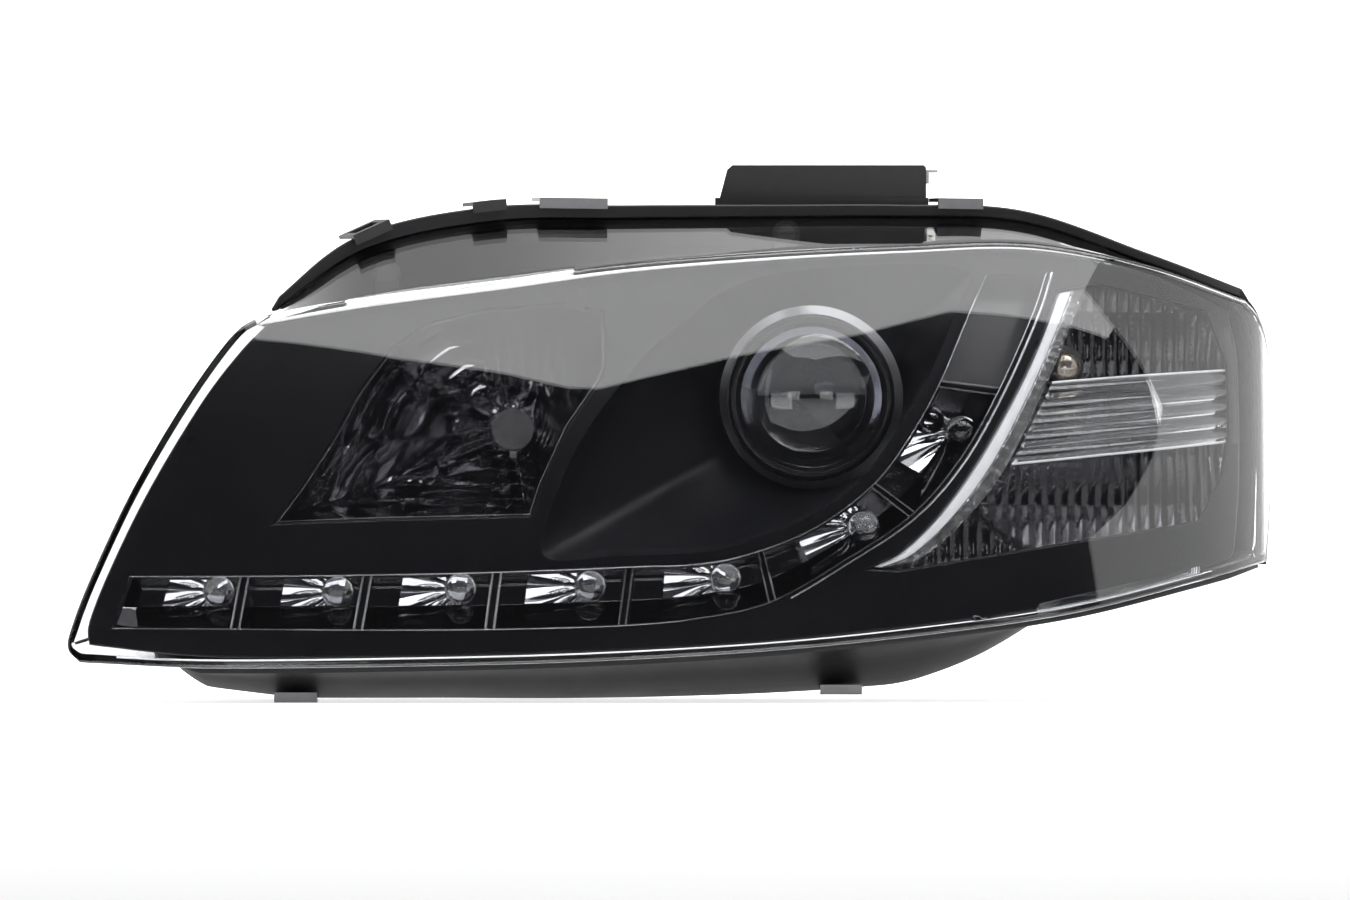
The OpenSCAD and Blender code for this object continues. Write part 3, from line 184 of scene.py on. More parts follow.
def resample(points, step, smooth=False):
    """Points at about even steps round a closed outline, anticlockwise seen from the front."""
    p = np.asarray(points, float)
    if smooth:
        p = spline(p, np.linspace(0, 1, 40 * len(p), endpoint=False), closed=True)
    q = np.vstack([p, p[:1]])
    along = np.concatenate([[0], np.cumsum(np.linalg.norm(np.diff(q, axis=0), axis=1))])
    n = max(8, int(along[-1] / step))
    s = np.linspace(0, along[-1], n, endpoint=False)
    out = np.stack([np.interp(s, along, q[:, k]) for k in (0, 1)], axis=1)
    area = np.sum(out[:, 0] * np.roll(out[:, 1], -1) - np.roll(out[:, 0], -1) * out[:, 1])
    return out if area > 0 else out[::-1]


def outward(p):
    """Outward directions round an anticlockwise outline."""
    t = np.roll(p, -1, axis=0) - np.roll(p, 1, axis=0)
    return unit(np.stack([t[:, 1], -t[:, 0]], axis=1))


def inside(points, loop):
    """Which points lie inside a closed outline."""
    x, z = points[:, 0], points[:, 1]
    hit = np.zeros(len(points), bool)
    for (x0, z0), (x1, z1) in zip(loop, np.roll(loop, -1, axis=0)):
        cross = (z0 > z) != (z1 > z)
        with np.errstate(divide="ignore", invalid="ignore"):
            hit ^= cross & (x < (x1 - x0) * (z - z0) / (z1 - z0) + x0)
    return hit


def smooth_lookup(v, table, blur):
    """The table's value at v, with its corners rounded."""
    t = np.asarray(table, float)
    near = np.linspace(-blur, blur, 9)
    return np.mean([np.interp(np.asarray(v) + e, t[:, 0], t[:, 1]) for e in near], axis=0)


# ---------- Meshes ----------


class Solid:
    """Collects vertices and faces of one piece, in lamp millimetres."""

    def __init__(self):
        self.verts, self.faces, self.count = [], [], 0

    def add(self, verts, faces):
        verts = np.asarray(verts, float).reshape(-1, 3)
        base = self.count
        self.verts.append(verts)
        self.faces.extend([tuple(int(i) + base for i in f) for f in faces])
        self.count += len(verts)
        return self

    def slab(self, front, back):
        """Between a front and a back grid of points."""
        c, r = front.shape[0] - 1, front.shape[1] - 1
        n = (c + 1) * (r + 1)
        g = np.arange(n).reshape(c + 1, r + 1)
        quads = np.stack([g[:-1, :-1], g[:-1, 1:], g[1:, 1:], g[1:, :-1]], axis=-1).reshape(-1, 4)
        rim = np.concatenate([g[:-1, 0], g[-1, :-1], g[:0:-1, -1], g[0, :0:-1]])
        nxt = np.roll(rim, -1)
        sides = np.stack([rim, nxt, nxt + n, rim + n], axis=-1)
        return self.add(np.concatenate([front.reshape(-1, 3), back.reshape(-1, 3)]),
                        np.concatenate([quads, quads[:, ::-1] + n, sides]))

    def ring(self, loops, closed=True):
        """Through closed loops of points, where the last loop meets the first."""
        loops = np.asarray(loops)
        m, n = loops.shape[:2]
        g = np.arange(m * n).reshape(m, n)
        a, b = (g, np.roll(g, -1, axis=0)) if closed else (g[:-1], g[1:])
        quads = np.stack([a, np.roll(a, -1, axis=1), np.roll(b, -1, axis=1), b], axis=-1).reshape(-1, 4)
        return self.add(loops.reshape(-1, 3), quads)

    def turned(self, at, outline, n=96):
        """Turned about the y axis through (x, z): outline is (radius, y) pairs."""
        a = np.linspace(0, 2 * math.pi, n, endpoint=False)
        return self.ring([np.stack([at[0] + r * np.cos(a), np.full(n, y), at[1] + r * np.sin(a)], axis=1)
                          for r, y in outline])

    def sheet(self, outer, holes, step, front, back):
        """A curved plate with holes: 2-D outline, then front and back put it in space."""
        loops = [outer] + holes
        x0, z0 = outer.min(axis=0)
        x1, z1 = outer.max(axis=0)
        gx, gz = np.meshgrid(np.arange(x0, x1, step), np.arange(z0, z1, step), indexing="ij")
        gx = gx + (np.arange(gx.shape[1]) % 2) * step / 2
        grid = np.stack([gx.ravel(), gz.ravel()], axis=1)
        keep = inside(grid, outer)
        for h in holes:
            keep &= ~inside(grid, h)
        grid = grid[keep]
        edge = np.concatenate(loops)
        near = np.array([np.min(np.sum((edge - g) ** 2, axis=1)) for g in grid]) < (0.6 * step) ** 2
        grid = grid[~near]
        pts = np.concatenate(loops + [grid])
        edges, base = [], 0
        for loop in loops:
            n = len(loop)
            edges += [(base + k, base + (k + 1) % n) for k in range(n)]
            base += n
        out = delaunay_2d_cdt([Vector(p) for p in pts], edges, [], 0, 1e-7, True)
        flat = np.array([tuple(v) for v in out[0]])
        tris = np.array(out[2])
        mid = flat[tris].mean(axis=1)
        good = inside(mid, outer)
        for h in holes:
            good &= ~inside(mid, h)
        tris = tris[good]
        where = {i: k for k, ids in enumerate(out[3]) for i in ids}
        n = len(flat)
        faces = [tuple(t) for t in tris] + [tuple(t[::-1] + n) for t in tris]
        base = 0
        for loop in loops:
            ids = [where[base + k] for k in range(len(loop))]
            base += len(loop)
            faces += [(a, b, b + n, a + n) for a, b in zip(ids, ids[1:] + ids[:1])]
        return self.add(np.concatenate([front(flat), back(flat)]), faces)

    def piece(self, name, material, slot, body="lamp_body", nodes=(), angle=32, glass=False):
        """Make the object, put it on its body and hide the CAD nodes it replaces. Glass casts no shadow."""
        mesh = bpy.data.meshes.new(name)
        mesh.from_pydata(((np.concatenate(self.verts) - DATUM) * MM).tolist(), [], self.faces)
        bm = bmesh.new()
        bm.from_mesh(mesh)
        bmesh.ops.remove_doubles(bm, verts=bm.verts, dist=2e-6)
        bmesh.ops.recalc_face_normals(bm, faces=bm.faces)
        bm.to_mesh(mesh)
        bm.free()
        mesh.shade_smooth()
        mesh.set_sharp_from_angle(angle=math.radians(angle))
        obj = bpy.data.objects.new(name, mesh)
        bpy.context.scene.collection.objects.link(obj)
        mesh.materials.append(material)
        obj.visible_shadow = not glass
        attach(obj, body)
        if nodes:
            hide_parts(*nodes)
        return obj


# ---------- Materials ----------


def finish(name, colour, rough, vary=0.12, scale=300.0, grain=0.0, grain_scale=2500.0, metallic=0.0,
           streak=None, **sockets):
    """Principled surface whose colour and roughness vary gently, with a fine grain as bump."""
    mat = bpy.data.materials.new(name)
    mat.use_nodes = True
    tree = mat.node_tree
    bsdf = tree.nodes["Principled BSDF"]
    coord = tree.nodes.new("ShaderNodeTexCoord")
    place = coord.outputs["Object"]
    if streak:
        mapping = tree.nodes.new("ShaderNodeMapping")
        mapping.inputs["Scale"].default_value = streak
        tree.links.new(place, mapping.inputs["Vector"])
        place = mapping.outputs["Vector"]
    cloud = tree.nodes.new("ShaderNodeTexNoise")
    cloud.inputs["Scale"].default_value = scale
    cloud.inputs["Detail"].default_value = 5
    tree.links.new(place, cloud.inputs["Vector"])
    tone = tree.nodes.new("ShaderNodeMix")
    tone.data_type = "RGBA"
    tone.inputs[6].default_value = (*[c * (1 - vary) for c in colour], 1)
    tone.inputs[7].default_value = (*[min(1, c * (1 + vary)) for c in colour], 1)
    tree.links.new(cloud.outputs["Fac"], tone.inputs[0])
    tree.links.new(tone.outputs[2], bsdf.inputs["Base Color"])
    gloss = tree.nodes.new("ShaderNodeMapRange")
    gloss.inputs["To Min"].default_value = rough * 0.75
    gloss.inputs["To Max"].default_value = min(1, rough * 1.25)
    tree.links.new(cloud.outputs["Fac"], gloss.inputs["Value"])
    tree.links.new(gloss.outputs["Result"], bsdf.inputs["Roughness"])
    if grain:
        fine = tree.nodes.new("ShaderNodeTexNoise")
        fine.inputs["Scale"].default_value = grain_scale
        fine.inputs["Detail"].default_value = 2
        tree.links.new(place, fine.inputs["Vector"])
        bump = tree.nodes.new("ShaderNodeBump")
        bump.inputs["Strength"].default_value = grain
        bump.inputs["Distance"].default_value = 0.0003
        tree.links.new(fine.outputs["Fac"], bump.inputs["Height"])
        tree.links.new(bump.outputs["Normal"], bsdf.inputs["Normal"])
    bsdf.inputs["Metallic"].default_value = metallic
    for socket, value in sockets.items():
        bsdf.inputs[socket.replace("_", " ")].default_value = value
    return mat


def clear(name, colour, rough, ior, wave=0.0, wave_scale=60.0, transmission=1.0):
    """Clear moulding with a faint moulded waviness."""
    mat = bpy.data.materials.new(name)
    mat.use_nodes = True
    tree = mat.node_tree
    bsdf = tree.nodes["Principled BSDF"]
    bsdf.inputs["Base Color"].default_value = (*colour, 1)
    bsdf.inputs["Roughness"].default_value = rough
    bsdf.inputs["IOR"].default_value = ior
    bsdf.inputs["Transmission Weight"].default_value = transmission
    if wave:
        coord = tree.nodes.new("ShaderNodeTexCoord")
        noise = tree.nodes.new("ShaderNodeTexNoise")
        noise.inputs["Scale"].default_value = wave_scale
        noise.inputs["Detail"].default_value = 1
        bump = tree.nodes.new("ShaderNodeBump")
        bump.inputs["Strength"].default_value = wave
        bump.inputs["Distance"].default_value = 0.001
        tree.links.new(coord.outputs["Object"], noise.inputs["Vector"])
        tree.links.new(noise.outputs["Fac"], bump.inputs["Height"])
        tree.links.new(bump.outputs["Normal"], bsdf.inputs["Normal"])
    return mat


M_LENS = clear("polycarbonate_clear", (0.97, 0.975, 0.98), 0.0, 1.5, wave=0.05, wave_scale=14)
M_HOUSING = finish("housing_black", (0.01, 0.01, 0.011), 0.5, vary=0.25, scale=40, grain=0.35,
                   Specular_IOR_Level=0.22)
M_BRACKET = finish("bracket_black", (0.02, 0.02, 0.021), 0.5, vary=0.2, scale=60, grain=0.4, grain_scale=1800,
                   Specular_IOR_Level=0.35)
M_BEZEL = finish("bezel_black", (0.0022, 0.0021, 0.0028), 0.3, vary=0.2, scale=30, grain=0.1,
                 grain_scale=3500, Specular_IOR_Level=0.09)
M_BOWL = finish("bowl_black", (0.0022, 0.0022, 0.003), 0.34, vary=0.2, scale=30, grain=0.1,
                grain_scale=3500, Specular_IOR_Level=0.09)
M_TRIM = finish("trim_chrome", (0.36, 0.36, 0.375), 0.25, vary=0.05, scale=80, metallic=1.0)
M_SMOKE = finish("smoked_chrome", (0.3, 0.295, 0.31), 0.1, vary=0.1, scale=60, metallic=1.0)
M_DARK_CHROME = finish("dark_chrome", (0.04, 0.039, 0.042), 0.15, vary=0.1, scale=60, metallic=1.0)
M_TRAY = finish("tray_black", (0.02, 0.02, 0.022), 0.25, vary=0.2, scale=80, grain=0.1)
M_OPTIC = clear("led_optic", (0.96, 0.97, 0.99), 0.02, 1.49)
M_RIBBED = clear("ribbed_optic", (0.9, 0.91, 0.93), 0.08, 1.49)
M_GUIDE = clear("light_guide_clear", (0.93, 0.935, 0.95), 0.22, 1.49, wave=0.5, wave_scale=260)
M_GLASS = clear("lamp_glass", (0.95, 0.97, 1.0), 0.0, 1.52)
# The bulb's coating looks grey until it is lit
M_AMBER = finish("amber_glass", (0.3, 0.27, 0.23), 0.16, vary=0.15, scale=120, metallic=0.85)
M_BLACK_RING = finish("ring_black", (0.004, 0.004, 0.005), 0.22, vary=0.2, scale=60, Specular_IOR_Level=0.15)
M_CLIP = finish("blackened_steel", (0.16, 0.16, 0.165), 0.35, vary=0.2, scale=120, grain=0.2, metallic=1.0)
M_FAN = finish("fan_chrome", (0.5, 0.5, 0.52), 0.08, vary=0.06, scale=80, metallic=1.0)
# White beads inside the lens: painted highlight standing for the bright lines at its crease and lower edge
M_HIGHLIGHT_BEAD = finish("painted_highlight_white", (0.82, 0.82, 0.84), 0.3, vary=0.05, scale=200, grain=0.2, Coat_Weight=0.4)
M_FROST = finish("frosted_guide", (0.42, 0.425, 0.44), 0.35, vary=0.1, scale=160, grain=0.4, grain_scale=1400,
                 Coat_Weight=0.5)
M_DARK_MIRROR = finish("dark_mirror", (0.09, 0.09, 0.095), 0.04, vary=0.1, scale=60, metallic=1.0)
M_RUBBER = finish("seal_rubber", (0.025, 0.025, 0.025), 0.7, grain=0.4)
M_ZINC = finish("zinc_steel", (0.55, 0.55, 0.53), 0.32, vary=0.1, scale=250, grain=0.1, metallic=1.0)
M_SPRING = finish("spring_steel", (0.7, 0.69, 0.66), 0.25, vary=0.1, scale=120, metallic=1.0,
                  streak=(1, 12, 1))
M_BOARD = finish("circuit_green", (0.03, 0.14, 0.05), 0.4, vary=0.3, scale=200, Coat_Weight=0.5)
M_CHIP = finish("led_yellow", (0.75, 0.55, 0.08), 0.45, vary=0.15, scale=600)
M_DRIVER = finish("driver_grey", (0.12, 0.122, 0.13), 0.5, vary=0.15, scale=200, grain=0.3)
M_NYLON = finish("grey_nylon", (0.18, 0.18, 0.185), 0.5, vary=0.1, scale=100, grain=0.2)
M_WHITE = finish("white_nylon", (0.68, 0.67, 0.62), 0.45, vary=0.06, scale=100, grain=0.15)
M_FRAME = finish("frame_black", (0.03, 0.03, 0.032), 0.48, vary=0.2, scale=90, grain=0.5, grain_scale=1500)
M_CAST = finish("cast_aluminium", (0.2, 0.2, 0.21), 0.42, vary=0.15, scale=150, grain=0.4,
                grain_scale=900, metallic=1.0)
M_BRASS = finish("contact_brass", (0.72, 0.56, 0.26), 0.3, vary=0.1, scale=300, metallic=1.0)

# ---------- Outer lens ----------

LC, LR = 168, 44  # columns and rows of the lens grid
SPACING = 1.2  # above 1, columns crowd towards the fender end
FLANGE_SET = 13.0
CREASE, BEVEL_ROWS, SKIRT_ROWS = 1.5, 4, 8


def edge_st():
    """s and t round the lens edge, anticlockwise, and which side each place is on."""
    s = np.concatenate([1 - (1 - np.arange(LC) / LC) ** SPACING, np.ones(LR),
                        1 - (1 - np.arange(LC, 0, -1) / LC) ** SPACING, np.zeros(LR)])
    t = np.concatenate([np.zeros(LC), np.arange(LR) / LR, np.ones(LC), np.arange(LR, 0, -1) / LR])
    side = np.repeat([0, 1, 2, 3], [LC, LR, LC, LR])
    return s, t, side


def flange_points():
    """The lens edge, and the rear edge of its skirt, which stands on the seal."""
    s, t, side = edge_st()
    edge = behind(patch(LENS_BOTTOM, LENS_TOP, LENS_LEFT, LENS_RIGHT, s, t), 0)
    sill = np.stack([np.interp(s, [0, 0.12, 0.93, 1], [13, 0, 0, -4]),
                     np.interp(s, [0, 0.3, 0.75, 1], [40, 32, 32, FLANGE_SET]),
                     np.interp(s, [0, 0.06, 0.12], [11, 8, 1.5])], axis=1)
    fender = np.tile([-4.0, FLANGE_SET, 0.0], (len(s), 1))
    inner = np.stack([np.full(len(t), 13.0), 40 - 6 * t, 11 * np.maximum(0, 1 - 4 * t)], axis=1)
    rim = spline(RIM_TOP, s)
    top = np.stack([rim[:, 0], edge[:, 1] + rim[:, 2], rim[:, 1]], axis=1)
    out = np.where((side == 0)[:, None], edge + sill, np.where((side == 1)[:, None], edge + fender,
                   np.where((side == 2)[:, None], top, edge + inner)))
    return edge, out


EDGE, FLANGE = flange_points()


def flange_outward():
    run = np.roll(FLANGE, -1, axis=0) - np.roll(FLANGE, 1, axis=0)
    return unit(np.stack([run[:, 2], np.zeros(len(run)), -run[:, 0]], axis=1)), run


FLANGE_OUT, FLANGE_RUN = flange_outward()
SKIRT_IN = unit(np.cross(FLANGE_RUN, FLANGE - EDGE))


def off_flange(d, dy):
    """The flange loop moved d outwards and dy back."""
    return FLANGE + d * FLANGE_OUT + np.array([0, dy, 0])


def along_skirt(start, dy):
    """The loop start moved along the skirt until it is dy further back."""
    skirt = FLANGE - EDGE
    return start + skirt * (np.asarray(dy) / skirt[:, 1])[:, None]


def outer_lens():
    """Face, rounded crease and skirt, as one closed wall."""
    g = np.arange((LC + 1) * (LR + 1)).reshape(LC + 1, LR + 1)
    rim = np.concatenate([g[:-1, 0], g[-1, :-1], g[:0:-1, -1], g[0, :0:-1]])
    s = 1 - (1 - np.arange(LC + 1) / LC) ** SPACING
    xz = patch(LENS_BOTTOM, LENS_TOP, LENS_LEFT, LENS_RIGHT, s[:, None], np.arange(LR + 1)[None] / LR)
    face = behind(xz, 0).reshape(-1, 3)
    n = inward(xz).reshape(-1, 3)
    inner = face + LENS_WALL * n
    m = (n[rim] + SKIRT_IN) / (1 + np.sum(n[rim] * SKIRT_IN, axis=1))[:, None]
    inner[rim] = face[rim] + LENS_WALL * m
    away = unit(np.cross(n[rim], FLANGE_RUN))
    away *= np.sign(np.sum(away * (face[rim] - face.mean(axis=0)), axis=1))[:, None]
    down = unit(FLANGE - EDGE)
    start, corner, end = face[rim] - CREASE * away, face[rim].copy(), face[rim] + CREASE * down
    face[rim] = start
    loops = [face[rim]]
    for k in np.arange(1, BEVEL_ROWS + 1) / BEVEL_ROWS:
        loops.append((1 - k) ** 2 * start + 2 * k * (1 - k) * corner + k * k * end)
    for k in range(1, SKIRT_ROWS + 1):
        loops.append(end + (FLANGE - end) * k / SKIRT_ROWS)
    inside_loops = [inner[rim]]
    foot = along_skirt(FLANGE + LENS_WALL * SKIRT_IN, -LENS_WALL * SKIRT_IN[:, 1])
    for k in range(1, SKIRT_ROWS + 1):
        inside_loops.append(inner[rim] + (foot - inner[rim]) * k / SKIRT_ROWS)
    solid = Solid()
    quads = np.stack([g[:-1, :-1], g[:-1, 1:], g[1:, 1:], g[1:, :-1]], axis=-1).reshape(-1, 4)
    solid.add(face, quads)
    solid.add(inner, quads[:, ::-1])
    solid.ring(loops, closed=False)
    solid.ring(inside_loops[::-1], closed=False)
    solid.ring([loops[-1], inside_loops[-1]], closed=False)
    solid.piece("outer_lens_moulding", M_LENS, "clear_polycarbonate", nodes=["outer_lens"], angle=40,
                glass=True)


outer_lens()

BEAD_DEPTH = 4.6
# Each bead: the edge it follows, its start and end along that edge, how far below the edge, and its radius
BEADS = [(LENS_TOP, 0.0, 0.83, 2.6, 1.5), (LENS_BOTTOM, 0.04, 0.9, -3.2, 0.45)]


def lens_bead():
    """White bead just inside the lens, along its upper crease and its lower edge: a painted highlight for the
    bright lines there.
    """
    solid = Solid()
    turns = np.linspace(0, 2 * math.pi, 10, endpoint=False)
    for curve, s0, s1, drop, thick in BEADS:
        s = np.linspace(s0, s1, 160)
        place = spline(curve, s) - (0, drop)
        centre = behind(place, BEAD_DEPTH + thick)
        r = thick * np.clip(1.15 - 0.75 * (s - s0) / (s1 - s0), 0.3, 1)
        into = inward(place)
        side = unit(np.cross(np.gradient(centre, axis=0), into))
        tube = np.stack([centre + r[:, None] * (math.cos(k) * into + math.sin(k) * side)
                         for k in turns], axis=1)
        n, m = tube.shape[:2]
        g = np.arange(n * m).reshape(n, m)
        nxt = np.roll(g, -1, axis=1)
        quads = np.stack([g[:-1], nxt[:-1], nxt[1:], g[1:]], axis=-1).reshape(-1, 4)
        solid.add(tube.reshape(-1, 3), [tuple(f) for f in quads] + [tuple(g[0][::-1]), tuple(g[-1])])
    solid.piece("lens_painted_highlight_bead", M_HIGHLIGHT_BEAD, "clear_polycarbonate")


lens_bead()


def prism_strip():
    """Row of small moulded prisms inside the lens at its lower fender end."""
    low = [(154.8, 37.4), (190, 45), (226, 53.4)]
    high = [(155.5, 42.3), (190, 49.8), (226.3, 58.2)]
    steps, tooth, front_depth, back_depth = 150, 0.9, LENS_WALL + 0.4, LENS_WALL + 2.4
    u = np.linspace(0, 1, steps + 1)
    teeth = tooth * (np.arange(steps + 1) % 2)
    a, b = spline(low, u), spline(high, u)
    front = np.stack([behind(a, front_depth + teeth), behind(b, front_depth + teeth)], axis=1)
    back = np.stack([behind(a, back_depth), behind(b, back_depth)], axis=1)
    Solid().slab(front, back).piece("lens_prism_strip", M_OPTIC, "clear_polycarbonate", glass=True)


prism_strip()

# ---------- Housing ----------

NARROWING = [(-1, 0), (0, 0), (0.2, 0.02), (0.45, 0.1), (0.7, 0.35), (0.88, 0.7), (1, 1), (1.1, 1.2)]
BELLY_SHAPE = [(-1, 0), (0, 0), (0.08, 0.6), (0.2, 1), (0.5, 1), (0.75, 0.7), (0.9, 0.3), (1, 0), (2, 0)]
BELLY_DROP = [(-226, 0), (-208, 10), (-165, 15.5), (-97, 16.5), (64, 21.5), (100, 22.5), (125, 17),
              (143, 10), (160, 1), (175, 0)]
RIM_T, LIP_GAP, LIP_FRONT, SEAL_T = 3.2, 0.7, -6.0, 3.0
LEDGE, LEDGE_REACH = SEAL_T + 1.0, -3.6
SHELL_BACK = REAR_Y - WALL - 0.1
MIDDLE_X, MIDDLE_Z = 8, 112  # what the housing narrows towards
NARROW_X, NARROW_LOW, NARROW_HIGH = 0.78, 0.95, 0.82


def shell_loop(v, inset, back_y):
    """Loop round the housing at v, from the flange (0) to its rear wall (1)."""
    side = edge_st()[2]
    x, y, z = FLANGE.T
    qx = MIDDLE_X + (x - MIDDLE_X) * NARROW_X
    qz = MIDDLE_Z + (z - MIDDLE_Z) * np.where(z < MIDDLE_Z, NARROW_LOW, NARROW_HIGH)
    e = float(smooth_lookup(v, NARROWING, 0.05)) if v < 1 else 1.0
    belly = smooth_lookup(v, BELLY_SHAPE, 0.04) if v > 0.04 else np.interp(v, [0, 0.08], [0, 0.6])
    drop = np.where(side == 0, smooth_lookup(x, BELLY_DROP, 9) * belly, 0)
    return np.stack([x + (qx - x) * e, y + 8 + (back_y - y - 8) * v, z + (qz - z) * e - drop],
                    axis=1) - inset * FLANGE_OUT


def housing():
    """Shell from the lip round the lens skirt back to the rear panel's opening."""
    steps = [0.2, 0.3, 0.4, 0.5, 0.6, 0.7, 0.79, 0.88]
    loops = [shell_loop(1, 2 + WALL, SHELL_BACK - WALL)]
    loops += [shell_loop(v, WALL, SHELL_BACK - WALL) for v in reversed(steps)]
    loops += [off_flange(LEDGE_REACH, LEDGE + 3), off_flange(LEDGE_REACH, LEDGE), off_flange(LIP_GAP, LEDGE),
              off_flange(LIP_GAP, 0), along_skirt(off_flange(LIP_GAP, 0), LIP_FRONT),
              off_flange(LIP_GAP + 1.2, LIP_FRONT - 0.3), off_flange(LIP_GAP + RIM_T - 0.6, LIP_FRONT - 0.3),
              off_flange(LIP_GAP + RIM_T, LIP_FRONT + 0.3),
              off_flange(LIP_GAP + RIM_T, 6), shell_loop(0.06, 0, SHELL_BACK)]
    loops += [shell_loop(v, 0, SHELL_BACK) for v in [0.08, 0.12, 0.16] + steps]
    loops += [shell_loop(0.94, 0.1, SHELL_BACK), shell_loop(0.98, 0.4, SHELL_BACK),
              shell_loop(0.995, 1.2, SHELL_BACK), shell_loop(1, 2, SHELL_BACK)]
    for y in (SHELL_BACK, SHELL_BACK - WALL):
        w = shell_loop(1, 2 + WALL, y)
        w[:, 0] = MIDDLE_X + (w[:, 0] - MIDDLE_X) * 0.96
        w[:, 2] = MIDDLE_Z + (w[:, 2] - MIDDLE_Z) * 0.96
        loops.append(w)
    Solid().ring(loops).piece("housing_shell", M_HOUSING, "housing_black", nodes=["housing"], angle=30)


housing()

# ---------- Bezel and bowl ----------


def lip(solid, loop, depth, reach):
    """Rounded return round an opening."""
    n = -outward(loop)
    steps = [(-0.6, depth + 0.4), (0, depth - 0.05), (0.35, depth + 0.05), (0.75, depth + 0.45),
             (1, depth + 1.2), (1, depth + reach), (-0.6, depth + reach)]
    solid.ring([behind(loop + g * n, d) for g, d in steps])


def bezel():
    """Plate with rounded returns at its openings and edge, and a bright line round the high beam."""
    u = np.linspace(0, 1, 121)
    outer = np.concatenate([spline(BEZEL_BOTTOM, u)[:-1], spline(BEZEL_RIGHT, u[::2])[:-1],
                            spline(BEZEL_TOP, u[::-1])[:-1], spline(BEZEL_LEFT, u[::-2])[:-1]])
    outer = resample(outer, 3.0)
    v = np.linspace(0, 1, 200)
    strip = resample(np.concatenate([across(v, np.zeros(200)), across(v[::-1], np.ones(200))]), 3.0)
    high = resample(HIGH_OPENING, 2.4)
    bowl = resample(BOWL_RIM, 2.4, smooth=True)
    window = resample(INDICATOR_OPENING, 2.4)
    solid = Solid().sheet(outer, [high, bowl, strip, window], 5.0, lambda p: behind(p, BEZEL_DEPTH),
                          lambda p: behind(p, BEZEL_DEPTH + BEZEL_T))
    lip(solid, high, BEZEL_DEPTH, 4.2)
    lip(solid, window, BEZEL_DEPTH, 9.0)
    n = outward(outer)
    solid.ring([behind(outer + g * n, d) for g, d in
                [(-0.6, 9.4), (0, 8.95), (0.4, 9.1), (0.8, 9.7), (0.9, 11), (0.9, 15), (-0.6, 15)]])
    solid.piece("bezel_moulding", M_BEZEL, "bezel_black", nodes=["inner_bezel"], angle=34)
    edge = Solid()
    n = -outward(high)
    edge.ring([behind(high + g * n, d) for g, d in
               [(1.1, 10.2), (1.5, 9.7), (1.9, 10.2), (1.9, 13.2), (1.1, 13.2)]])
    edge.piece("high_beam_trim", M_TRIM, "bright_chrome")


bezel()


BOWL_END_R, BOWL_END_Y = 39.5, 102


def bowl():
    """Dark bowl from the bezel's teardrop opening to the round hole at the projector."""
    rim = resample(BOWL_RIM, 2.2, smooth=True)
    ring_at = unit(rim - PROJECTOR)
    rows = 22
    front_d = BEZEL_DEPTH + 0.3

    def row(t, g, depth, dy):
        a = behind(rim + g * ring_at, depth)
        b = at_depth(PROJECTOR + (BOWL_END_R + g) * ring_at, BOWL_END_Y + dy)
        m = a + (b - a) * t
        m[:, 1] = a[:, 1] + (b[:, 1] - a[:, 1]) * t ** 0.8
        return m

    loops = [row(t, 0, front_d, 0) for t in np.linspace(1, 0, rows)]
    loops += [row(0, 0.5, front_d - 0.35, 0), row(0, 1.1, front_d + 0.3, 0)]
    loops += [row(t, 1.2, front_d + 2.5, 2) for t in np.linspace(0, 1, 8)]
    Solid().ring(loops) \
        .piece("projector_bowl_moulding", M_BOWL, "bezel_black", nodes=["projector_bowl"], angle=38)


bowl()

# ---------- Running-light strip ----------


def strip_grid(us, sections):
    """Grid of points along the strip: sections are (w, d) pairs across it."""
    return np.stack([behind(across(us, np.full(len(us), w)), d) for w, d in sections], axis=1)


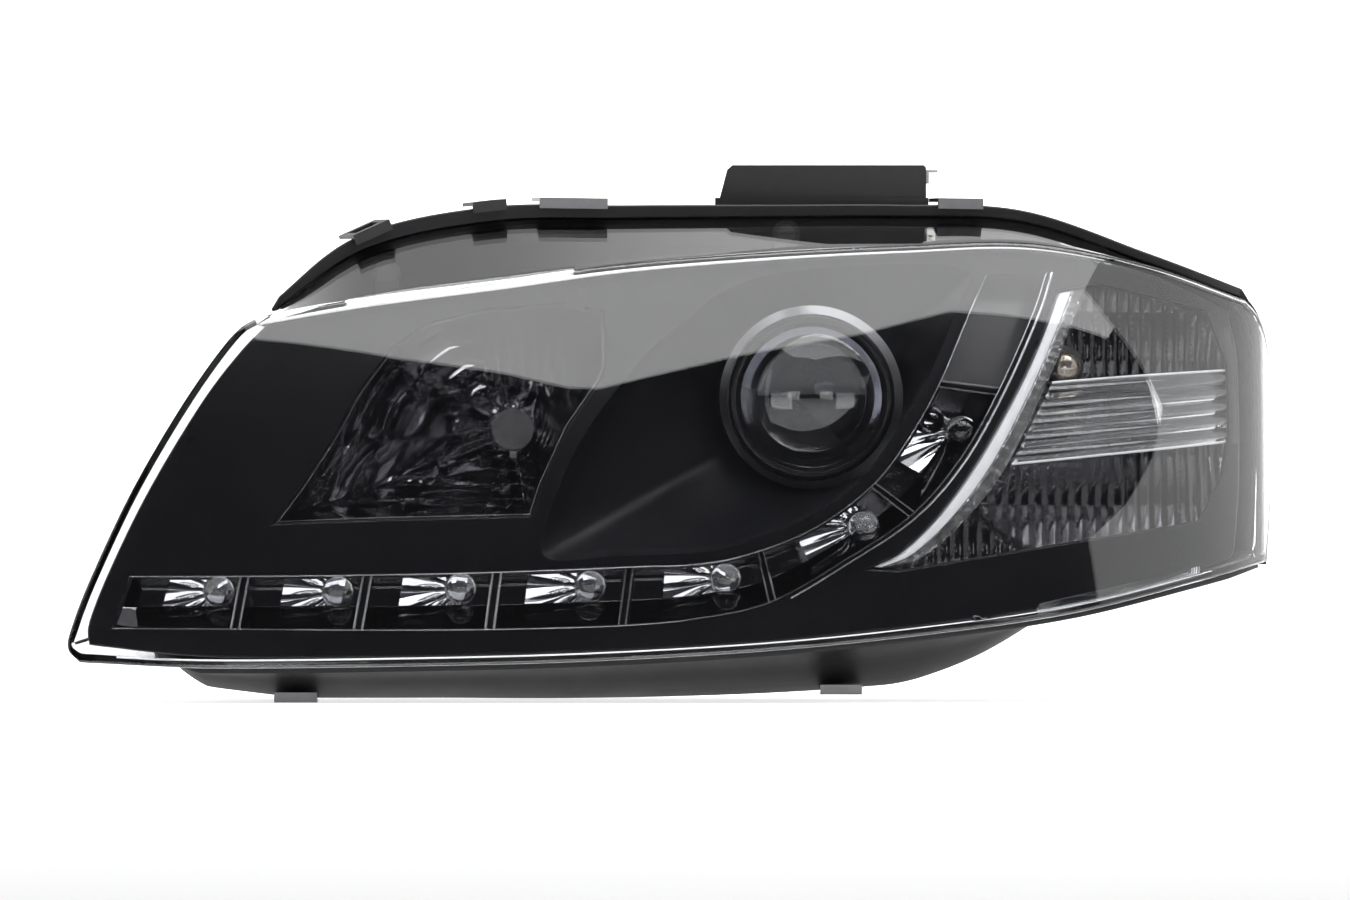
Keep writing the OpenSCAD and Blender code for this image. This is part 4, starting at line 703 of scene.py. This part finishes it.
def drl():
    """Tray, cells, trims, dividers and LED lenses."""
    us = np.linspace(0, 1, 260)
    d0 = BEZEL_DEPTH + BEZEL_T + 0.6
    front = strip_grid(us, [(0.988, 9.4), (0.982, d0), (0.96, TRAY_DEPTH), (0.5, TRAY_DEPTH + 0.3),
                            (0.04, TRAY_DEPTH), (0.018, d0), (0.012, 9.4)])
    back = strip_grid(us, [(1.03, 10.5), (1.04, d0 + 1), (1.03, TRAY_DEPTH + 2), (0.5, TRAY_DEPTH + 3),
                           (-0.03, TRAY_DEPTH + 2), (-0.04, d0 + 1), (-0.03, 10.5)])
    Solid().slab(front, back).piece("drl_tray", M_TRAY, "smoked_chrome", nodes=["drl_reflector"], angle=30)

    # Each cell is an upright dark back with a sloping mirror floor, and a bright fan beside the LED
    cells, fans = Solid(), Solid()
    for k, led in enumerate(LEDS):
        c0, c1 = CELLS[k], CELLS[k + 1]
        u = np.linspace(c0 + 0.03 * (c1 - c0), c1 - 0.03 * (c1 - c0), 40)
        w = np.linspace(0.94, 0.07, 36)
        uu, ww = np.meshgrid(u, w, indexing="ij")
        rise = np.clip((ww - FLOOR_W) / (0.94 - FLOOR_W), 0, 1)
        d = TRAY_DEPTH - 0.7 - 10.5 * rise
        xz = across(uu, ww)
        cells.slab(behind(xz, d), behind(xz, TRAY_DEPTH - 0.1 + 0 * d))
        gap = np.linalg.norm(across(u, np.full(len(u), 0.3)) - np.array(led), axis=-1)
        at = np.argmin(gap) / (len(u) - 1)
        u = np.linspace(c0 + (c1 - c0) * max(0.12, at - 0.46), c0 + (c1 - c0) * (at + 0.02), 60)
        w = np.linspace(FLOOR_W - 0.02, 0.09, 40)
        uu, ww = np.meshgrid(u, w, indexing="ij")
        xz = across(uu, ww)
        off = xz - np.array(led)
        r = np.linalg.norm(off, axis=-1)
        angle = np.arctan2(off[..., 1], off[..., 0])
        ridges = 1.5 * np.abs(np.sin(8.5 * angle + k)) * np.clip((r - LED_R) / 5, 0, 1)
        d = TRAY_DEPTH - 1.4 - ridges - 3.5 * np.clip((r - LED_R) / 26, 0, 1) ** 1.5
        fans.slab(behind(xz, d), behind(xz, TRAY_DEPTH - 1.0 + 0 * d))
    cells.piece("drl_cell_floors", M_DARK_MIRROR, "smoked_chrome", angle=30)
    fans.piece("drl_fan_reflectors", M_FAN, "bright_chrome", angle=30)

    solid = Solid()
    for w0, w1 in ((0.012, 0.042), (0.958, 0.988)):
        ws = (w1, 0.75 * w1 + 0.25 * w0, (w0 + w1) / 2, 0.25 * w1 + 0.75 * w0, w0)
        solid.slab(strip_grid(us, zip(ws, (9.2, 8.5, 8.3, 8.5, 9.2))),
                   strip_grid(us, [(w, 11.5) for w in ws]))
    end = np.linspace(0.52, 1, 120)
    solid.slab(strip_grid(end, [(1.085, 8.9), (1.065, 8.4), (1.045, 8.9)]),
               strip_grid(end, [(1.085, 10), (1.065, 10), (1.045, 10)]))
    solid.piece("drl_border_trim", M_TRIM, "bright_chrome", nodes=["drl_trim"])

    solid = Solid()
    w = np.linspace(0.955, 0.045, 16)
    for c in CELLS[1:-1]:
        scale = 1.0 if c <= CELLS[4] else 1.4  # wider bars between the longer cells
        for off in (-0.0026 * scale, 0.0026 * scale):
            half = 0.0008 * scale
            u = np.array([c + off - half, c + off, c + off + half])
            front = np.stack([behind(across(np.full(16, a), w), d) for a, d in zip(u, (9.6, 9.1, 9.6))])
            back = np.stack([behind(across(np.full(16, a), w), TRAY_DEPTH - 0.6) for a in u])
            solid.slab(front, back)
    solid.piece("drl_divider_bars", M_TRIM, "bright_chrome", nodes=["drl_dividers"])

    solid, sleeves, discs = Solid(), Solid(), Solid()
    for led in LEDS:
        sx, sz = slopes(np.array(led, float))
        y = behind(led, TRAY_DEPTH)[1] - LED_R * math.hypot(sx, sz) - 0.8
        dome = [(LED_R * math.sin(t), y - LED_R * math.cos(t)) for t in np.linspace(0, math.pi / 2, 14)]
        solid.turned(led, dome + [(LED_R, y + 1.2), (0, y + 1.2)], n=48)
        sleeves.turned(led, [(LED_R + 0.15, y - 0.6), (LED_R + 0.4, y - 1.0), (LED_R + 0.8, y - 0.6),
                             (LED_R + 0.9, y + 1.2), (LED_R + 0.15, y + 1.2)], n=48)
        discs.turned(led, [(0, y + 1.4), (LED_R, y + 1.4), (LED_R, y + 1.8), (0, y + 1.8)], n=48)
    solid.piece("led_domes", M_OPTIC, "led_optic", nodes=["drl_led_lenses"], glass=True)
    sleeves.piece("led_sleeves", M_TRIM, "bright_chrome")
    discs.piece("led_backing_discs", M_TRAY, "smoked_chrome")

    # Small round recess above the last LED
    place = (110, 120.6)
    outline = [(3.2, 16), (5, 14.5), (5.6, 15), (5.6, 21), (3.2, 21)]
    Solid().turned(place, [(r, behind(place, d)[1]) for r, d in outline], n=48) \
        .piece("drl_small_recess", M_DARK_CHROME, "smoked_chrome")


drl()

# ---------- Light guide and indicator ----------


def light_guide():
    """Frosted half towards the projector, clear half towards the indicator, and chrome strips on its edges as
    painted highlights for the bright lines there.
    """
    u = np.linspace(0, 1, 140)
    a, b = spline(GUIDE_LEFT, u), spline(GUIDE_RIGHT, u)
    ripple = 0.45 * np.abs(np.sin(math.pi * u * 40))

    def line(w, d):
        return behind(a + (b - a) * w, d)

    def bar(ws, ds, depth):
        front = np.stack([line(w, d) for w, d in zip(ws, ds)], axis=1)
        return Solid().slab(front, np.stack([line(w, depth + ripple) for w in ws], axis=1))

    bar([0.0, 0.05, 0.2, 0.35, 0.46], [12.0, 10.7, 10.1, 9.9, 10.0], 16.5) \
        .piece("light_guide_frosted_half", M_FROST, "light_guide_clear", nodes=["light_guide"], angle=24)
    bar([0.5, 0.55, 0.7, 0.88, 1.0], [10.6, 9.7, 9.8, 10.4, 12.2], 16.5) \
        .piece("light_guide_clear_half", M_GUIDE, "light_guide_clear", angle=24, glass=True)
    # Chrome strips on the guide's outer edge and middle: painted highlight for the bright edge lines of the
    # clear guide
    edges = bar([-0.05, -0.03, 0.0], [10.6, 10.2, 10.6], 12)
    edges.slab(np.stack([line(w, d) for w, d in ((0.465, 9.9), (0.48, 9.5), (0.495, 9.9))], axis=1),
               np.stack([line(w, 12 + 0 * u) for w in (0.465, 0.48, 0.495)], axis=1))
    edges.piece("light_guide_highlight_strips", M_TRIM, "light_guide_clear")


light_guide()


def indicator():
    """Fluted reflector, ribbed clear block and bulb."""
    window = resample(np.array(INDICATOR_OPENING), 2.5)
    outer = window + 1.2 * outward(window)
    centre = np.array([185.0, 118.0])
    a = np.linspace(0, 2 * math.pi, 48, endpoint=False)
    hole = INDICATOR + BULB_HOLE_R * np.stack([np.cos(a), np.sin(a)], axis=1)

    def hollow(p):
        q = (p - centre) / np.array([72.0, 62.0])
        return 19 + 20 * np.sqrt(np.clip(1 - np.sum(q ** 2, axis=1), 0, 1))

    def front(p):
        upper = p[:, 1] > 108 + (p[:, 0] - 150) * 0.06
        flutes = np.where(upper, 1.3 * np.abs(np.sin(math.pi * p[:, 0] / 5.2)),
                          1.3 * np.abs(np.sin(math.pi * (p[:, 0] + 2) / 5.8)))
        steps = 1.6 * np.abs(np.sin(math.pi * p[:, 1] / 21))
        return behind(p, hollow(p) - flutes - steps)

    Solid().sheet(outer, [hole], 1.3, front, lambda p: behind(p, hollow(p) + 2.5)) \
        .piece("indicator_bowl", M_DARK_CHROME, "smoked_chrome", nodes=["indicator_reflector"], angle=22)

    ribs, rows, cols = 5, 60, 30
    bottom, top = [(144.5, 102), (190, 106.5), (238, 111.5)], [(162, 137), (200, 140), (238, 142.5)]
    left, right = [(144.5, 102), (153, 119), (162, 137)], [(238, 111.5), (238.3, 127), (238, 142.5)]
    s, t = np.meshgrid(np.linspace(0, 1, cols + 1), np.linspace(0, 1, rows + 1), indexing="ij")
    xz = patch(bottom, top, left, right, s, t)
    bulge = 2.1 * np.abs(np.sin(math.pi * ribs * t))
    Solid().slab(behind(xz, BEZEL_DEPTH + 2.6 - bulge), behind(xz, BEZEL_DEPTH + 7.5)) \
        .piece("ribbed_block", M_RIBBED, "led_optic", nodes=["indicator_ribbed_lens"], angle=24, glass=True)
    # Grey frosted rods along the block's top and bottom edges: painted highlight standing for the bright
    # lines on the clear block's edges
    edges = Solid()
    u = np.linspace(0, 1, 50)
    for curve in (bottom, top):
        line = spline(curve, u)
        crest = [behind(line + (0, g), BEZEL_DEPTH + d) for g, d in ((-0.5, 2), (0, 1.6), (0.5, 2))]
        root = [behind(line + (0, g), BEZEL_DEPTH + 5) for g in (-0.5, 0, 0.5)]
        edges.slab(np.stack(crest, axis=1), np.stack(root, axis=1))
    edges.piece("ribbed_block_highlight_rods", M_FROST, "led_optic", angle=30)

    Solid().turned(INDICATOR, [(0, 128), (2.2, 128.2), (4.6, 129.4), (6.4, 131.6), (7.6, 135), (8, 139),
                               (7.7, 144), (6.6, 149), (5, 154), (5, 157), (5, 160), (0, 160)], n=48) \
        .piece("indicator_bulb_glass", M_AMBER, "amber_glass", body="indicator_holder")
    Solid().turned(INDICATOR, [(0, 160.1), (7.6, 160.1), (8, 160.6), (8, 179.4), (7.6, 179.9),
                               (0, 179.9)], n=48) \
        .piece("indicator_bulb_base", M_ZINC, "zinc_steel", body="indicator_holder", nodes=["indicator_bulb"])


indicator()

# ---------- Projector ----------


def projector():
    """Domed glass and the stepped ring round it."""
    r, back, dome = 31.75, 97.0, 15.0
    ball = (r * r + dome * dome) / (2 * dome)
    turns = np.linspace(0, math.asin(r / ball), 30)
    profile = [(ball * math.sin(a), back - dome + ball - ball * math.cos(a)) for a in turns]
    Solid().turned(PROJECTOR, profile + [(r, back), (r * 0.66, back), (r * 0.33, back), (0, back)], n=128) \
        .piece("projector_glass", M_GLASS, "lamp_glass", body="carrier", nodes=["projector_lens"], glass=True)
    steps = [(0.1, 93), (0.5, 92.3), (1.2, 92), (2.3, 92), (3.2, 92.4), (3.8, 93.2), (4, 94.4), (4, 96),
             (3.4, 96.4), (3.4, 97.2), (4, 97.6), (4, 102), (-2, 102), (-2, 97.1), (0.1, 97.1)]
    Solid().turned(PROJECTOR, [(r + g, y) for g, y in steps], n=128) \
        .piece("projector_ring", M_BLACK_RING, "smoked_chrome", body="carrier",
               nodes=["projector_lens_ring"], angle=40)


projector()

# ---------- High beam ----------


def high_beam():
    """Faceted reflector, with flutes in its upper corner and a collar round the bulb."""
    rim = resample(HIGH_RIM, 1.2)
    d = rim - HIGH_BULB
    n = len(rim)
    rng = np.random.default_rng(7)
    sectors, rings = 9, np.array([0, 0.16, 0.34, 0.54, 0.76, 1.0])  # facets round and along the reflector
    along = np.arange(n) / n * sectors
    tilt = rng.uniform(-1, 1, (sectors, len(rings) - 1, 2))
    rim_depth = BEZEL_DEPTH + BEZEL_T + 7.5
    rows = 72

    def row(t, g=0.0):
        a = behind(rim + g * unit(d), rim_depth + g * 0.5)
        b = at_depth(HIGH_BULB + (9 + 0.5 * g) * unit(d), 146 + g)
        m = a + (b - a) * t
        m[:, 1] = a[:, 1] + (b[:, 1] - a[:, 1]) * math.sqrt(t)
        if g:
            return m
        k = min(int(np.searchsorted(rings, t, side="right")) - 1, len(rings) - 2)
        ft = (t - rings[k]) / (rings[k + 1] - rings[k])
        sec = along.astype(int) % sectors
        fs = along - np.floor(along)
        pillow = 2.4 * (1 - (2 * ft - 1) ** 2) * (1 - (2 * fs - 1) ** 2) \
            + 1.5 * tilt[sec, k, 0] * (fs - 0.5) * 2 + 1.2 * tilt[sec, k, 1] * (ft - 0.5) * 2
        flutes = 1.5 * np.abs(np.sin(math.pi * m[:, 0] / 5.4))
        fluted = np.clip((m[:, 0] + 84) / 6, 0, 1) * np.clip((m[:, 2] - 133) / 5, 0, 1)
        ease = min(1, t / 0.03) * min(1, (1 - t) / 0.05)
        m[:, 1] += ease * (fluted * flutes + (1 - fluted) * pillow)
        return m

    loops = [row(t) for t in np.linspace(1, 0, rows)]
    loops += [row(t, 2) for t in np.linspace(0, 1, 10)]
    solid = Solid().ring(loops)
    solid.turned(HIGH_BULB, [(BULB_HOLE_R, 148.2), (16, 148.2), (16, 151.9), (BULB_HOLE_R, 151.9)])
    solid.piece("high_beam_faceted_reflector", M_SMOKE, "smoked_chrome", body="carrier",
                nodes=["high_beam_reflector"], angle=16)


high_beam()

# ---------- Finishes of the nodes kept from the CAD model ----------

KEPT = {
    "lens_seal": M_RUBBER, "housing_rear_panel": M_HOUSING, "upper_mount_bracket": M_BRACKET,
    "upper_mount_bush": M_ZINC, "bracket_speed_nut": M_SPRING, "inner_mount_bracket": M_BRACKET,
    "outer_mount_bracket": M_BRACKET, "mount_bushes": M_ZINC, "housing_screws": M_ZINC,
    "rim_clips": M_CLIP, "rim_tabs": M_BRACKET, "bezel_brackets": M_HOUSING, "bezel_screws": M_BRACKET,
    "drl_circuit_board": M_BOARD, "drl_led_chips": M_CHIP, "drl_driver_module": M_DRIVER,
    "indicator_bulb_holder": M_NYLON, "carrier_frame": M_FRAME, "projector_barrel": M_CAST,
    "cutoff_shield": M_DARK_CHROME, "projector_reflector": M_SMOKE, "low_beam_bulb": M_GLASS,
    "low_beam_bulb_clip": M_SPRING, "high_beam_bulb": M_GLASS, "high_beam_bulb_shield": M_SMOKE,
    "high_beam_bulb_clip": M_SPRING, "pivot_ball_stud": M_ZINC, "pivot_socket": M_WHITE,
    "levelling_motor": M_BRACKET, "levelling_spindle": M_WHITE, "vertical_adjuster_knob": M_WHITE,
    "horizontal_adjuster_body": M_BRACKET, "horizontal_ball_stud": M_WHITE,
    "horizontal_adjuster_knob": M_WHITE, "low_beam_cap": M_HOUSING, "high_beam_cap": M_HOUSING,
    "cap_seals": M_RUBBER, "main_connector": M_BRACKET, "connector_pins": M_BRASS,
    "breather_caps": M_RUBBER,
}
for name, material in KEPT.items():
    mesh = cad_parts[name].data
    mesh.materials.clear()
    mesh.materials.append(material)

# ---------- Stage, lights and camera ----------

FLOOR_Z = -DATUM[2] * MM
VIEW_X, VIEW_Z = -DATUM[0] * MM, 0.10836 + FLOOR_Z
VIEW_WIDTH, VIEW_DISTANCE = 0.5805, 9.0
CURVE_Y, CURVE_R, WALL_Z = 1.2, 0.8, 0.9


def backdrop():
    """Pale floor that curves up into a wall."""
    profile = [(-6.0, 0.0), (CURVE_Y, 0.0)]
    profile += [(CURVE_Y + CURVE_R * math.sin(a), CURVE_R - CURVE_R * math.cos(a))
                for a in np.linspace(0.1, math.pi / 2, 16)]
    profile += [(CURVE_Y + CURVE_R, WALL_Z)]
    verts = [(x, y, FLOOR_Z + z) for x in (-5.0, 5.0) for y, z in profile]
    n = len(profile)
    faces = [(k, k + 1, n + k + 1, n + k) for k in range(n - 1)]
    mesh = bpy.data.meshes.new("studio_sweep")
    mesh.from_pydata(verts, [], faces)
    mesh.shade_smooth()
    obj = bpy.data.objects.new("studio_sweep", mesh)
    bpy.context.scene.collection.objects.link(obj)
    mat = finish("studio_white", (0.9, 0.9, 0.9), 0.9, vary=0.01, scale=2)
    bsdf = mat.node_tree.nodes["Principled BSDF"]
    bsdf.inputs["Emission Color"].default_value = (1, 1, 1, 1)
    bsdf.inputs["Emission Strength"].default_value = 0.72
    mesh.materials.append(mat)


backdrop()


def mirrored(places, axis, at):
    """Where the lens, seen from the front at each (x, z), mirrors the plane axis = at (metres)."""
    p = np.asarray(places, float)
    sx, sz = slopes(p)
    n2 = 1 + sx ** 2 + sz ** 2
    ray = np.stack([2 * sx / n2, (n2 - 2) / n2, 2 * sz / n2], axis=-1)
    start = (behind(p, 0) - DATUM) * MM
    return start + ray * ((at - start[:, axis]) / ray[:, axis])[:, None]


def panel(name, corners, radiance):
    """Flat glowing screen through corners, unseen by the camera itself."""
    mesh = bpy.data.meshes.new(name)
    mesh.from_pydata([tuple(c) for c in corners], [], [tuple(range(len(corners)))])
    mat = bpy.data.materials.new(name)
    mat.use_nodes = True
    bsdf = mat.node_tree.nodes["Principled BSDF"]
    bsdf.inputs["Base Color"].default_value = (0, 0, 0, 1)
    bsdf.inputs["Specular IOR Level"].default_value = 0
    bsdf.inputs["Emission Color"].default_value = (1, 1, 1, 1)
    bsdf.inputs["Emission Strength"].default_value = radiance
    mesh.materials.append(mat)
    obj = bpy.data.objects.new(name, mesh)
    obj.visible_camera = False
    bpy.context.scene.collection.objects.link(obj)


# Lower border of the bright reflection in the upper lens, and border of the one at its fender end
UPPER_GLOW = [(-185, 157), (-129.5, 150), (-75, 142), (-47, 136), (-33, 135.5), (26.7, 149.6), (81, 159.5),
              (122, 170), (161.7, 165.8), (190, 158)]
FENDER_GLOW = [(173.7, 187), (190.5, 166), (206.8, 141), (213, 127), (209, 106), (197.4, 84.7), (181, 69)]
TOP_Z, FENDER_X, INNER_X = 1.4, 1.7, -2.0  # where the screens stand, in metres
upper_edge = [tuple(v) for v in mirrored(UPPER_GLOW, 2, TOP_Z)]
near_edge = [(upper_edge[-1][0], -0.4, TOP_Z), (upper_edge[0][0] - 0.4, -0.4, TOP_Z)]
panel("top_screen", upper_edge + near_edge, 3.2)
panel("zenith_screen", [(-1.2, -0.38, TOP_Z), (4.5, -0.38, TOP_Z), (4.5, 0.38, TOP_Z),
                        (-1.2, 0.38, TOP_Z)], 8.0)
panel("rear_top_screen", [(-3.0, 0.5, TOP_Z), (4.5, 0.5, TOP_Z), (4.5, 3.6, 0.95), (-3.0, 3.6, 0.95)], 0.8)
fender_edge = [tuple(v) for v in mirrored(FENDER_GLOW, 0, FENDER_X)]
far_edge = [(FENDER_X, fender_edge[-1][1] + 0.05, -0.22), (FENDER_X, 5.0, -0.22), (FENDER_X, 5.0, 2.4)]
panel("fender_screen", fender_edge + far_edge, 1.25)
panel("inner_screen", [(INNER_X, -1.6, -0.2), (INNER_X, 2.0, -0.2), (INNER_X, 2.0, 1.3),
                       (INNER_X, -1.6, 1.3)], 1.6)
for side in (-1, 1):
    x0, x1 = VIEW_X + 0.55 * side, VIEW_X + 1.2 * side
    panel(f"low_screen_{side + 1}", [(x0, -2.6, -0.2), (x1, -2.4, -0.2), (x1, -2.4, 0.22),
                                     (x0, -2.6, 0.22)], 4.0)

world = bpy.data.worlds.new("studio")
bpy.context.scene.world = world
world.use_nodes = True
world.node_tree.nodes["Background"].inputs["Color"].default_value = (0.05, 0.05, 0.055, 1)
world.node_tree.nodes["Background"].inputs["Strength"].default_value = 1.0
bpy.context.scene.view_settings.view_transform = "Standard"

camera_data = bpy.data.cameras.new("camera")
camera_data.sensor_width = 36
camera_data.lens = camera_data.sensor_width * VIEW_DISTANCE / VIEW_WIDTH
camera_data.clip_end = 50
camera = bpy.data.objects.new("camera", camera_data)
camera.location = (VIEW_X, -VIEW_DISTANCE - 0.1, VIEW_Z)
camera.rotation_euler = (math.pi / 2, 0, 0)
bpy.context.scene.collection.objects.link(camera)
bpy.context.scene.camera = camera
